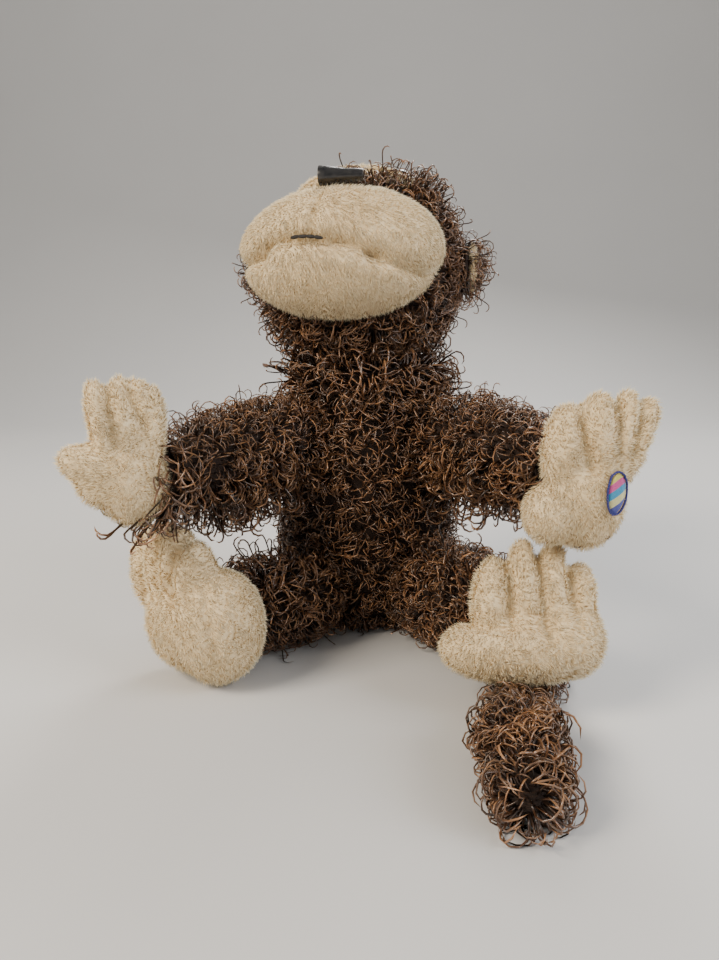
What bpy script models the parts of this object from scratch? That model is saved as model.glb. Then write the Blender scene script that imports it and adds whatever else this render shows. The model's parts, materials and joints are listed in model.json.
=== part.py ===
"""A seated stuffed monkey: a curly fur body, a pale plush muzzle, hands and feet, and a long tail.

Every fabric cover is an open shell round its own lump of stuffing. The limbs, the head and the tail end
in balls that sit in round hollows, and a thin lining dish lies in each hollow that bends two ways.
Millimetres are used below, and each mesh is written in metres. +Z is up and the toy faces -Y.
"""

from math import acos, cos, pi, radians, sin, sqrt

import bmesh
import bpy
from mathutils import Matrix, Vector

MM = 0.001
PLAY = 0.3  # between pieces that touch
JOINT_PLAY = 0.4  # between a ball and its hollow
FUR_CLOTH = 2.4  # thickness of the curly cloth's backing
PLUSH_CLOTH = 1.8  # thickness of the short plush

# Body: height above the table, shares of the half width and half depth, and how far back the middle sits
BODY_WIDTH, BODY_DEPTH, BODY_HEIGHT = 43.0, 36.0, 131.0
TORSO_RINGS = (
    (0.0, 0.63, 0.64, 4.0),
    (6.0, 0.85, 0.875, 2.0),
    (20.0, 0.98, 1.0, 0.5),
    (45.0, 1.0, 1.0, 0.5),
    (75.0, 0.94, 0.93, 3.0),
    (100.0, 0.88, 0.86, 6.0),
    (118.0, 0.885, 0.81, 8.0),
    (BODY_HEIGHT, 0.83, 0.74, 8.0),
)
NECK_PIVOT = Vector((0.0, 8.0, BODY_HEIGHT + 19.0))
NECK_HOLLOW = 26.5
LINING = 1.0  # thickness of every lining dish

HEAD_CENTRE = NECK_PIVOT + Vector((-2.5, 0.0, 27.0))
HEAD_RADII = (48.0, 45.0, 46.0)
HEAD_TILT, HEAD_YAW, HEAD_ROLL = 48.0, -14.0, -1.0
MUZZLE_RADII = (46.0, 27.0, 29.0)  # across, forward, up

LIMB_RADIUS = 18.0
LIMB_NECK = 11.5
LIMB_BALL = 14.5
PAW_SIZE = LIMB_BALL / 14.5  # hands and feet grow with the balls they turn on
FOOT_RISE = (PAW_SIZE - 1.0) * 28.0  # bigger feet stand higher
HAND_RISE = (PAW_SIZE - 1.0) * 96.0  # and the hands clear them
SHOULDER = {side: Vector((BODY_WIDTH * 0.885 * sign, -12.0, 96.0)) for side, sign in (("right", -1), ("left", 1))}
ARM_BEND = {
    "right": Vector((-67.0, -40.0, 94.0 + HAND_RISE * 0.5)),
    "left": Vector((63.0, -44.0, 99.0 + HAND_RISE * 0.5)),
}
WRIST = {"right": Vector((-84.0, -78.0, 88.0 + HAND_RISE)), "left": Vector((75.0, -86.0, 91.0 + HAND_RISE))}
HIP = {side: Vector((BODY_WIDTH * 0.7 * sign, -33.0, 21.0)) for side, sign in (("right", -1), ("left", 1))}
LEG_BEND = {"right": Vector((-47.0, -45.0, 20.0)), "left": Vector((45.0, -56.0, 21.0))}
ANKLE = {"right": Vector((-64.0, -59.0, 25.0 + FOOT_RISE)), "left": Vector((58.0, -84.0, 28.0 + FOOT_RISE))}

TAIL_ROOT = Vector((6.0, 38.0, 17.0))
TAIL_JOINT = Vector((53.0, -128.0, 8.5))
TAIL_BALL = 8.5  # radius at the root and along the free length
TAIL_FLAT = (9.0, 4.3)  # half width and half height where the foot presses it
TAIL_NECK = 5.0
TAIL_END_BALL = 7.6
TIP_RADII = (10.0, 9.2)
TAIL_CLOTH = 1.8


def material(name, colour, roughness):
    made = bpy.data.materials.new(name)
    made.use_nodes = True
    shader = made.node_tree.nodes["Principled BSDF"]
    shader.inputs["Base Color"].default_value = (*colour, 1.0)
    shader.inputs["Roughness"].default_value = roughness
    return made


def solid(name, points, faces):
    """A closed mesh object from points in millimetres, with its normals facing out."""
    mesh = bpy.data.meshes.new(name)
    mesh.from_pydata([tuple(Vector(point) * MM) for point in points], [], faces)
    work = bmesh.new()
    work.from_mesh(mesh)
    bmesh.ops.recalc_face_normals(work, faces=work.faces)
    work.to_mesh(mesh)
    work.free()
    made = bpy.data.objects.new(name, mesh)
    bpy.context.scene.collection.objects.link(made)
    return made


def rings_to_faces(count, sides):
    """Faces of a lofted body: point 0 and the last point are its poles."""
    faces = []
    last = count * sides + 1
    for side in range(sides):
        after = (side + 1) % sides
        faces.append((0, 1 + after, 1 + side))
        for ring in range(count - 1):
            low = 1 + ring * sides
            faces.append((low + side, low + after, low + sides + after, low + sides + side))
        top = 1 + (count - 1) * sides
        faces.append((last, top + side, top + after))
    return faces


def loft(name, sections, sides):
    """A closed body through sections of (centre, across, up, half width, half height)."""
    points = [sections[0][0]]
    for centre, across, up, width, height in sections[1:-1]:
        for side in range(sides):
            angle = 2 * pi * side / sides
            points.append(centre + across * (cos(angle) * width) + up * (sin(angle) * height))
    points.append(sections[-1][0])
    return solid(name, points, rings_to_faces(len(sections) - 2, sides))


def ellipsoid(name, centre, radii, axes, sides=12, rings=6):
    """Radii run along the three columns of axes, and the poles lie on the third."""
    across, deep, up = (axes.col[index].copy() for index in range(3))
    sections = [(centre - up * radii[2], across, deep, 0.0, 0.0)]
    for ring in range(1, rings):
        angle = pi * ring / rings
        at = centre - up * (radii[2] * cos(angle))
        sections.append((at, across, deep, radii[0] * sin(angle), radii[1] * sin(angle)))
    sections.append((centre + up * radii[2], across, deep, 0.0, 0.0))
    return loft(name, sections, sides)


def ball(centre, radius, sides=12, rings=7):
    return ellipsoid("ball", centre, (radius,) * 3, Matrix.Identity(3), sides, rings)


def hollow(centre, radius, sides=12, rings=7):
    """The cutter for a round hollow, whose flats stay outside the radius."""
    return ball(centre, radius / cos(pi / sides) / cos(pi / rings / 2), sides, rings)


def frame_along(direction):
    """A rotation whose third column is the direction."""
    return direction.to_track_quat("Z", "Y").to_matrix()


def rod(start, end, radius, sides=12):
    """A round bar with flat ends."""
    turn = frame_along(end - start)
    across, up = turn.col[0].copy(), turn.col[1].copy()
    sections = [(start, across, up, 0, 0), (start, across, up, radius, radius)]
    sections += [(end, across, up, radius, radius), (end, across, up, 0, 0)]
    return loft("rod", sections, sides)


def combine(target, tool, operation):
    """Applies one exact Boolean and removes the tool."""
    step = target.modifiers.new(operation, "BOOLEAN")
    step.operation = operation
    step.solver = "EXACT"
    step.object = tool
    bpy.context.view_layer.update()
    graph = bpy.context.evaluated_depsgraph_get()
    result = bpy.data.meshes.new_from_object(target.evaluated_get(graph), depsgraph=graph)
    target.modifiers.clear()
    target.data = result
    bpy.data.objects.remove(tool)
    return target


def cut(target, *tools):
    for tool in tools:
        combine(target, tool, "DIFFERENCE")
    return target


def finish(target, name, pivot, cloth):
    """Names the piece, gives it its material, and puts its origin on its joint."""
    target.name = name
    target.data.name = name
    target.data.materials.clear()
    target.data.materials.append(cloth)
    target.data.transform(Matrix.Translation(-pivot * MM))
    target.location = pivot * MM
    return target


def lining(name, centre, direction, outer, half_angle, cloth):
    """A thin round dish, concentric with the hollow it lies in."""
    turn = frame_along(direction)
    across, up, along = (turn.col[index].copy() for index in range(3))
    steps = [radians(half_angle) * part / 3 for part in (1, 2, 3)]
    profile = [(outer, angle) for angle in steps] + [(outer - LINING, angle) for angle in reversed(steps)]
    sections = [(centre + along * outer, across, up, 0, 0)]
    for radius, angle in profile:
        width = radius * sin(angle)
        sections.append((centre + along * (radius * cos(angle)), across, up, width, width))
    sections.append((centre + along * (outer - LINING), across, up, 0, 0))
    return finish(loft(name, sections, 14), name, centre, cloth)


def limb(start, bend, end, shrink, sides=12):
    """A stuffed tube from a ball at its root, through a narrow neck, to a ball at its tip."""
    root, neck, tip = LIMB_RADIUS - shrink, LIMB_NECK - shrink, LIMB_BALL - shrink
    first, final = (bend - start).normalized(), (end - bend).normalized()

    def along(part):
        here = start * (1 - part) ** 2 + bend * (2 * part * (1 - part)) + end * part**2
        heading = (bend - start) * (1 - part) + (end - bend) * part
        return here, heading.normalized()

    stations = []
    for angle in (180, 152, 122, 90):
        at = start + first * (root * cos(radians(angle)))
        stations.append((at, first, root * sin(radians(angle))))
    for part, radius in ((0.3, root), (0.52, root * 0.98), (0.7, root * 0.94)):
        at, heading = along(part)
        stations.append((at, heading, radius))
    back = acos(-sqrt(tip**2 - neck**2) / tip)
    for part in (0, 0.28, 0.52, 0.76, 1):
        angle = back * (1 - part)
        stations.append((end + final * (tip * cos(angle)), final, tip * sin(angle)))
    sections = []
    for at, heading, radius in stations:
        across = heading.cross(Vector((0, 0, 1))).normalized()
        sections.append((at, across, across.cross(heading), radius, radius))
    return loft("limb", sections, sides)


def limb_pieces(name, start, bend, end, cloth, fill, pivot):
    """The cover, open at its root where it is gathered, and the stuffing inside it."""
    cover = cut(limb(start, bend, end, 0.0), limb(start, bend, end, FUR_CLOTH))
    inward = (start - bend).normalized()
    cut(cover, rod(start + inward * 4, start + inward * 22, 8.0))
    finish(cover, name + "_cover", pivot, cloth)
    finish(limb(start, bend, end, FUR_CLOTH + PLAY), name + "_stuffing", pivot, fill)


def paw(origin, axes, lobes, shrink):
    """Palm, thumb and fingers as swollen lobes, each given in the paw's own axes."""
    made = None
    for across, up, deep, wide, thick, tall, lean in lobes:
        turn = axes @ Matrix.Rotation(radians(lean), 3, "Y")
        centre = origin + axes @ Vector((across, deep, up)) * PAW_SIZE
        radii = (wide * PAW_SIZE - shrink, thick * PAW_SIZE - shrink, tall * PAW_SIZE - shrink)
        lobe = ellipsoid("lobe", centre, radii, turn, 8, 5)
        made = combine(made, lobe, "UNION") if made else lobe
    return made


def paw_pieces(name, origin, axes, lobes, joint, cloth, fill, name_fill):
    """A plush mitten and its filling, both hollowed round the ball at the limb's end."""
    cover = paw(origin, axes, lobes, 0.0)
    cut(cover, paw(origin, axes, lobes, PLUSH_CLOTH), hollow(joint, LIMB_BALL + JOINT_PLAY))
    finish(cover, name + "_cover", joint, cloth)
    inside = cut(paw(origin, axes, lobes, PLUSH_CLOTH + PLAY), hollow(joint, LIMB_BALL + JOINT_PLAY + PLAY))
    finish(inside, name + name_fill, joint, fill)


def torso(shrink, top):
    """The body as a loft. A shrunken one is lifted inside, and top is where it ends."""
    x_axis, y_axis = Vector((1, 0, 0)), Vector((0, 1, 0))
    sections = []
    for height, wide, deep, back in TORSO_RINGS:
        level = top if height == BODY_HEIGHT else max(height, shrink if height < 1 else height)
        sizes = (BODY_WIDTH * wide - shrink, BODY_DEPTH * deep - shrink)
        sections.append((Vector((0, back, level)), x_axis, y_axis, *sizes))
    low, high = sections[0], sections[-1]
    ends = [(low[0], x_axis, y_axis, 0, 0)], [(high[0], x_axis, y_axis, 0, 0)]
    return loft("torso", ends[0] + sections + ends[1], 18)


def tail_run(sections, shrink):
    """A tail length through (x, y, z, half width, half height), round at both ends."""
    points = [Vector(section[:3]) for section in sections]
    points[0] += (points[1] - points[0]).normalized() * shrink
    points[-1] += (points[-2] - points[-1]).normalized() * shrink
    made = []
    for index, (here, section) in enumerate(zip(points, sections)):
        ahead = points[min(index + 1, len(points) - 1)] - points[max(index - 1, 0)]
        ahead.z = 0
        ahead.normalize()
        across = ahead.cross(Vector((0, 0, 1)))
        wide, high = max(section[3] - shrink, 0), max(section[4] - shrink, 0)
        made.append((here, across, Vector((0, 0, 1)), wide, high))
    return loft("tail", made, 12)


for existing in list(bpy.data.objects):
    bpy.data.objects.remove(existing)

BROWN = material("brown_curly_fur", (0.085, 0.036, 0.018), 0.85)
CREAM = material("cream_plush", (0.80, 0.66, 0.46), 0.9)
FILL = material("white_fibre_fill", (0.86, 0.85, 0.82), 0.95)
BEANS = material("bean_pouch_cloth", (0.78, 0.77, 0.73), 0.9)
LINEN = material("lining_cloth", (0.16, 0.08, 0.05), 0.9)
LEATHER = material("black_leatherette", (0.012, 0.012, 0.014), 0.3)
PLASTIC = material("black_plastic", (0.01, 0.008, 0.007), 0.12)
WASHER = material("white_plastic", (0.8, 0.8, 0.78), 0.4)
THREAD = material("dark_thread", (0.03, 0.02, 0.015), 0.7)
PATCH = material("coloured_embroidery", (0.12, 0.2, 0.62), 0.5)
SATIN = material("white_label_satin", (0.9, 0.9, 0.88), 0.45)
ORIGIN = Vector((0.0, 0.0, 0.0))
SIDES = ("right", "left")

# Torso cover and its stuffing. The neck end is open and dished, and each limb has a round hollow.
cover = cut(torso(0.0, BODY_HEIGHT), torso(FUR_CLOTH, BODY_HEIGHT + 9.0))
inside = torso(FUR_CLOTH + PLAY, BODY_HEIGHT - PLAY)
for piece, extra in ((cover, 0.0), (inside, PLAY)):
    cut(piece, hollow(NECK_PIVOT, NECK_HOLLOW + extra, 16, 9))
    for side in SIDES:
        cut(piece, hollow(SHOULDER[side], LIMB_RADIUS + JOINT_PLAY * 2 + LINING + extra))
    cut(piece, hollow(HIP["right"], LIMB_RADIUS + JOINT_PLAY * 2 + LINING + extra))
    cut(piece, hollow(HIP["left"], LIMB_RADIUS + JOINT_PLAY + extra))
    cut(piece, hollow(TAIL_ROOT, TAIL_BALL + JOINT_PLAY + extra))
finish(cover, "torso_cover", ORIGIN, BROWN)

# The pouch of beans in the seat, in a hollow of the stuffing that opens downwards.
pouch_centre = Vector((0.0, 3.0, 14.5))
pouch_radii = (17.0, 15.0, 9.5)
cut(inside, ellipsoid("hollow", pouch_centre, [r + PLAY for r in pouch_radii], Matrix.Identity(3)))
cut(inside, rod(Vector((0, 3, -2)), Vector((0, 3, 12)), 10.0))
finish(inside, "torso_stuffing", ORIGIN, FILL)
pouch = ellipsoid("pouch", pouch_centre, pouch_radii, Matrix.Identity(3))
finish(pouch, "seat_bean_pouch", ORIGIN, BEANS)

# The blank care label, sewn into the back seam by one edge and standing out of the fur.
label = solid(
    "label",
    [(x, BODY_DEPTH + y, z) for x in (-8.3, -7.7) for y in (0.4, 19.0) for z in (29.0, 44.0)],
    [(0, 1, 3, 2), (4, 6, 7, 5), (0, 4, 5, 1), (2, 3, 7, 6), (0, 2, 6, 4), (1, 5, 7, 3)],
)
finish(label, "care_label", ORIGIN, SATIN)

# The neck: two lining dishes let the head turn and tilt, and its own ball lets it nod.
DOWN = Vector((0, 0, -1))
lining("neck_lining_outer", NECK_PIVOT, DOWN, NECK_HOLLOW - JOINT_PLAY, 36.0, LINEN)
lining("neck_lining_inner", NECK_PIVOT, DOWN, NECK_HOLLOW - JOINT_PLAY * 2 - LINING, 33.0, LINEN)
NECK_BALL = NECK_HOLLOW - JOINT_PLAY * 3 - LINING * 2

# Head axes: the first column points to the toy's left, the second out of the back, the third up.
tilt = Matrix.Rotation(radians(-HEAD_TILT), 3, "X")
head_axes = Matrix.Rotation(radians(HEAD_YAW), 3, "Z") @ Matrix.Rotation(radians(HEAD_ROLL), 3, "Y") @ tilt
left_way, front_way, up_way = head_axes.col[0].copy(), -head_axes.col[1], head_axes.col[2].copy()
muzzle_centre = HEAD_CENTRE + front_way * (HEAD_RADII[1] * 0.644) - up_way * (HEAD_RADII[2] * 0.457) + Vector((-1.7, 0.0, -3.0))


def skull(shrink):
    """The head's rounded block, cut level above the shoulders, with the neck ball below it."""
    level = Matrix.Identity(3)
    block = ellipsoid("skull", HEAD_CENTRE, [r - shrink for r in HEAD_RADII], level, 18, 10)
    floor = NECK_PIVOT.z - 5.0 + shrink
    slab = rod(Vector((0, 8, floor - 40)), Vector((0, 8, floor)), 80.0)
    cut(block, slab)
    return combine(block, ball(NECK_PIVOT, NECK_BALL - shrink, 14, 8), "UNION")


def muzzle(shrink):
    radii = [r - shrink for r in MUZZLE_RADII]
    return ellipsoid("muzzle", muzzle_centre, radii, head_axes, 16, 8)


eyes = {}
for side, sign in (("right", -1), ("left", 1)):
    way = (up_way * 0.765 + front_way * 0.516 + left_way * (0.38 * sign)).normalized()
    reach = 1 / sqrt(sum((way[axis] / HEAD_RADII[axis]) ** 2 for axis in range(3)))
    eyes[side] = (HEAD_CENTRE + way * reach, way)

# The head's cover, and the cream mask round the eyes, are two parts of one open shell.
cover = cut(skull(0.0), skull(FUR_CLOTH), rod(Vector((0, 8, 115)), Vector((0, 8, 140)), 9.0))
shell = cut(skull(0.0), skull(FUR_CLOTH))
mask_centre = HEAD_CENTRE + (up_way * 0.65 + front_way * 0.65) * HEAD_RADII[1] - left_way * 6.0
mask_radii = (HEAD_RADII[0] * 0.75, HEAD_RADII[1] * 0.49, HEAD_RADII[2] * 0.48)
mask = combine(shell, ellipsoid("mask", mask_centre, mask_radii, head_axes, 16, 8), "INTERSECT")
cut(cover, ellipsoid("mask", mask_centre, [r + PLAY for r in mask_radii], head_axes, 16, 8))
inside = skull(FUR_CLOTH + PLAY)
for side in SIDES:
    at, way = eyes[side]
    cut(mask, rod(at - way * 16, at + way * 16, 1.8, 8))
    cut(inside, rod(at - way * 10.3, at + way * 16, 1.8, 8))
    cut(inside, rod(at - way * 6.0, at + way * 16, 6.4, 12))
finish(cover, "head_cover", NECK_PIVOT, BROWN)
finish(mask, "face_mask", NECK_PIVOT, CREAM)
finish(inside, "head_stuffing", NECK_PIVOT, FILL)

# Safety eyes: a dome outside, its shank through the mask, and a washer inside that holds it.
for side in SIDES:
    at, way = eyes[side]
    dome = ellipsoid("eye", at + way * 1.6, (4.5, 4.5, 3.2), frame_along(way), 14, 8)
    cut(dome, rod(at - way * 6, at + way * 0.5, 8.0))
    combine(dome, rod(at - way * 9.5, at + way * 1.2, 1.4, 8), "UNION")
    finish(dome, "eye_" + side, NECK_PIVOT, PLASTIC)
    ring = cut(rod(at - way * 5.6, at - way * 4.3, 6.0), rod(at - way * 8, at, 1.8, 8))
    finish(ring, "eye_washer_" + side, NECK_PIVOT, WASHER)

# The muzzle is sewn on as a pouch with an open back. The smile seam parts its upper panel from the chin.
smile_way = front_way * cos(radians(33)) - up_way * sin(radians(33))
seam_normal = front_way * sin(radians(33)) + up_way * cos(radians(33))
for name, sign in (("muzzle_upper", -1), ("chin_cover", 1)):
    panel = cut(muzzle(0.0), muzzle(PLUSH_CLOTH), skull(-PLAY))
    near = muzzle_centre - seam_normal * (0.15 * sign)
    cut(panel, rod(near, near + seam_normal * (80 * sign), 90.0))
    finish(panel, name, NECK_PIVOT, CREAM)
finish(cut(muzzle(PLUSH_CLOTH + PLAY), skull(-PLAY)), "muzzle_stuffing", NECK_PIVOT, FILL)


def on_muzzle(across, forward, up):
    """The muzzle's surface point and outward normal in a direction of the head's axes."""
    way = Vector((across, -forward, up)).normalized()
    reach = 1 / sqrt(sum((way[axis] / MUZZLE_RADII[axis]) ** 2 for axis in range(3)))
    outward = Vector([way[axis] / MUZZLE_RADII[axis] ** 2 for axis in range(3)]).normalized()
    return muzzle_centre + head_axes @ (way * reach), head_axes @ outward


# The folded leatherette nose on top, and the short thread that draws the mouth.
at, outward = on_muzzle(0.10, 0.62, 0.80)
nose_axes = Matrix((left_way, outward.cross(left_way).normalized(), outward)).transposed()
nose = ellipsoid("nose", at + outward * 2.2, (9.5, 6.5, 4.6), nose_axes, 14, 8)
finish(cut(nose, muzzle(-PLAY), skull(-PLAY)), "nose", NECK_PIVOT, LEATHER)
mouth = [on_muzzle(across, 0.86, -0.40) for across in (-0.34, -0.2, -0.06)]
sections = []
for at, outward in mouth:
    here = at + outward * 0.9
    sections.append((here, outward, left_way.cross(outward).normalized(), 0.5, 0.5))
first, final = sections[0], sections[-1]
ends = [(first[0], *first[1:3], 0, 0)], [(final[0], *final[1:3], 0, 0)]
finish(loft("mouth", ends[0] + sections + ends[1], 6), "mouth_thread", NECK_PIVOT, THREAD)

# Ears: a furry back and a cream lining, folded flat against the sides of the head.
for side, sign in (("right", -1), ("left", 1)):
    way = (left_way * sign - front_way * 0.12 + up_way * 0.10).normalized()
    reach = 1 / sqrt(sum((way[axis] / HEAD_RADII[axis]) ** 2 for axis in range(3)))
    middle = HEAD_CENTRE + way * (reach + 4.0)
    ear_axes = frame_along(way)
    for name, low, high, cloth in (("ear_back_", -9, -0.15, BROWN), ("ear_lining_", 0.15, 9, CREAM)):
        ear = ellipsoid("ear", middle, (15.0, 13.5, 4.6), ear_axes, 14, 8)
        cut(ear, rod(middle + way * high, middle + way * 30, 30.0), rod(middle - way * 30, middle + way * low, 30.0))
        cut(ear, skull(-PLAY))
        finish(ear, name + side, NECK_PIVOT, cloth)

# Arms and legs. A lining dish sits behind each root ball that swings and lifts.
for side in SIDES:
    root = SHOULDER[side]
    inward = Vector((-root.x, 20.0, 0.0)).normalized()
    lining("shoulder_lining_" + side, root, inward, LIMB_RADIUS + JOINT_PLAY + LINING, 36.0, LINEN)
    limb_pieces("arm_" + side, root, ARM_BEND[side], WRIST[side], BROWN, FILL, root)
    limb_pieces("leg_" + side, HIP[side], LEG_BEND[side], ANKLE[side], BROWN, FILL, HIP[side])
inward = Vector((26.0, 26.0, 0.0)).normalized()
lining("hip_lining_right", HIP["right"], inward, LIMB_RADIUS + JOINT_PLAY + LINING, 36.0, LINEN)


def axes_of(across, deep, up):
    return Matrix((Vector(across).normalized(), Vector(deep).normalized(), Vector(up).normalized())).transposed()


# Hands and feet, in lobes: across, up, deep, half width, half thickness, half height, lean in degrees.
# The sizes are for a ball of 14.5 and grow with it.
LEFT_HAND = (
    (0.5, -6.0, 0.0, 15.5, 12.5, 18.5, 0),
    (-12.0, -10.0, -1.0, 11.0, 12.0, 12.5, 0),
    (-10.6, 17.0, 0.0, 8.4, 10.5, 17.0, -6),
    (3.6, 19.5, 0.0, 7.6, 10.5, 16.0, 0),
    (13.2, 20.5, 0.0, 6.2, 10.0, 16.0, 8),
    (19.8, 20.0, 0.0, 5.8, 9.3, 15.5, 14),
)
left_hand_at, level_axes = WRIST["left"] + Vector((5.0, -15.0, -0.5)), axes_of((1, 0, 0), (0, 1, 0), (0, 0, 1))
paw_pieces("hand_left", left_hand_at, level_axes, LEFT_HAND, WRIST["left"], CREAM, FILL, "_stuffing")
RIGHT_HAND = (
    (4.0, -2.0, 0.0, 14.5, 12.0, 17.8, 0),
    (-10.0, 5.0, 0.0, 14.0, 9.5, 8.2, 22),
    (-6.0, 22.0, 0.0, 5.6, 9.5, 17.0, -8),
    (1.0, 22.5, 0.0, 5.4, 9.5, 17.5, 0),
    (7.4, 22.0, 0.0, 5.3, 9.5, 17.0, 2),
    (12.6, 19.5, 0.0, 5.2, 9.5, 16.5, 4),
)
hand_axes = axes_of((0.916, 0.4, 0), (-0.4, 0.916, 0), (0, 0, 1))
right_hand_at = WRIST["right"] + Vector((-12.0, -14.0, 4.0))
paw_pieces("hand_right", right_hand_at, hand_axes, RIGHT_HAND, WRIST["right"], CREAM, FILL, "_stuffing")

# A stitched oval of coloured thread on the left palm.
patch_at = left_hand_at + Vector((8.6, -12.6, -0.3)) * PAW_SIZE
patch_turn = Matrix.Rotation(radians(20), 3, "Z") @ Matrix.Rotation(radians(-12), 3, "Y")
patch = ellipsoid("patch", patch_at, (4.4, 1.6, 8.6), patch_turn, 14, 8)
cut(patch, paw(left_hand_at, level_axes, LEFT_HAND, -PLAY))
finish(patch, "palm_embroidery", WRIST["left"], PATCH)

# Feet: a fat heel band and four toes that lean back against the legs.
LEFT_FOOT = (
    (-1.0, -2.5, 0.0, 32.5, 18.5, 13.8, 0),
    (17.5, 1.5, 0.0, 14.5, 17.5, 16.0, 0),
    (-13.8, 17.0, 0.0, 8.4, 10.5, 18.5, -2),
    (-0.3, 22.0, 0.0, 7.0, 10.5, 20.0, -1),
    (11.4, 22.0, 0.0, 7.0, 10.5, 19.8, 0),
    (21.6, 16.0, 0.0, 7.2, 11.0, 17.5, 4),
)
foot_axes = axes_of((1, 0, 0), (0, 0.970, -0.2425), (0, 0.2425, 0.970))
foot_at = ANKLE["left"] + Vector((2.0, -17.0, 0.0))
paw_pieces("foot_left", foot_at, foot_axes, LEFT_FOOT, ANKLE["left"], CREAM, BEANS, "_beans")
RIGHT_FOOT = (
    (5.5, -1.5, 0.0, 24.0, 18.5, 21.5, 0),
    (19.5, 0.0, 3.0, 20.5, 20.0, 25.0, 0),
    (15.0, 20.0, -3.5, 7.4, 10.5, 18.5, 2),
    (4.0, 23.0, -3.5, 7.2, 10.5, 19.5, -1),
    (-8.0, 22.5, -3.5, 8.0, 10.5, 20.0, -5),
    (-18.5, 16.5, -3.5, 8.8, 11.0, 20.0, -10),
)
foot_axes = axes_of((0.72, -0.694, 0), (0.694, 0.72, 0), (0, 0, 1))
foot_at = ANKLE["right"] + Vector((-16.0, -9.0, 0.5))
paw_pieces("foot_right", foot_at, foot_axes, RIGHT_FOOT, ANKLE["right"], CREAM, BEANS, "_beans")

# The tail: it lies on the table, is pressed flat under the left foot, and its end swells out in front.
# Each stop on its way: x, y, how far its underside is off the table, and how hard it is pressed.
TAIL_ROUTE = (
    (9.5, 48.0, 6.5, 0.0),
    (22.0, 56.5, 4.0, 0.0),
    (45.0, 55.0, 2.0, 0.0),
    (67.0, 36.0, 1.2, 0.2),
    (80.0, 5.0, 1.0, 0.75),
    (83.0, -30.0, 0.9, 1.0),
    (79.0, -60.0, 0.9, 1.0),
    (68.0, -88.0, 0.9, 1.0),
    (58.5, -107.0, 0.9, 1.0),
)


def tail_base(shrink):
    """From the ball in the seat, along the route, to the narrow neck behind the end ball."""
    heading = (Vector((9.5, 48.0, 15.0)) - TAIL_ROOT).normalized()
    rows = []
    for angle in (180, 138, 116, 90):
        reach, size = TAIL_BALL * cos(radians(angle)), TAIL_BALL * sin(radians(angle))
        rows.append((*(TAIL_ROOT + heading * reach), size, size))
    for x, y, lift, pressed in TAIL_ROUTE:
        wide = TAIL_BALL + (TAIL_FLAT[0] - TAIL_BALL) * pressed
        high = TAIL_BALL + (TAIL_FLAT[1] - TAIL_BALL) * pressed
        rows.append((x, y, lift + high, wide, high))
    heading = Vector((-0.27, -0.963, 0.0))
    for back, lift, wide, high in ((12, -2.6, 1.6, 0.9), (6.4, -0.8, 1.08, 1.0), (1.6, -0.1, 1.0, 1.0), (0, 0, 0, 0)):
        at = TAIL_JOINT - heading * back + Vector((0, 0, lift))
        rows.append((*at, TAIL_NECK * wide, TAIL_NECK * high))
    end = ball(TAIL_JOINT, TAIL_END_BALL - shrink, 12, 8)
    return combine(tail_run(rows, shrink), end, "UNION")


def tail_tip(shrink, clearance):
    """The swollen end, hollowed round the end ball."""
    rows = []
    shares = ((-1.4, 0.0), (-0.4, 0.9), (8.0, 1.0), (24.0, 1.0), (39.0, 0.93), (48.0, 0.62), (51.0, 0.0))
    for onward, share in shares:
        rows.append((
            TAIL_JOINT.x - 0.14 * onward, TAIL_JOINT.y - onward, TIP_RADII[1] + 0.5,
            TIP_RADII[0] * share, TIP_RADII[1] * share,
        ))
    return tail_run(rows, shrink), hollow(TAIL_JOINT, TAIL_END_BALL + JOINT_PLAY + clearance, 12, 8)


tunnel = rod(TAIL_ROOT + Vector((-4, -20, 0)), TAIL_ROOT + Vector((-0.7, -4, 0)), TAIL_BALL * 0.47)
finish(cut(tail_base(0.0), tail_base(TAIL_CLOTH), tunnel), "tail_cover", TAIL_ROOT, BROWN)
finish(tail_base(TAIL_CLOTH + PLAY), "tail_stuffing", TAIL_ROOT, FILL)
outer, socket = tail_tip(0.0, 0.0)
inner, spare = tail_tip(TAIL_CLOTH, 0.0)
bpy.data.objects.remove(spare)
finish(cut(outer, inner, socket), "tail_tip_cover", TAIL_JOINT, BROWN)
filling, socket = tail_tip(TAIL_CLOTH + PLAY, PLAY)
finish(cut(filling, socket), "tail_tip_stuffing", TAIL_JOINT, FILL)
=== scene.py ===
import json
from math import cos, pi, radians, sin, sqrt

import bmesh
import bpy
import numpy as np
from mathutils import Matrix, Vector, noise
from mathutils.bvhtree import BVHTree

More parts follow.
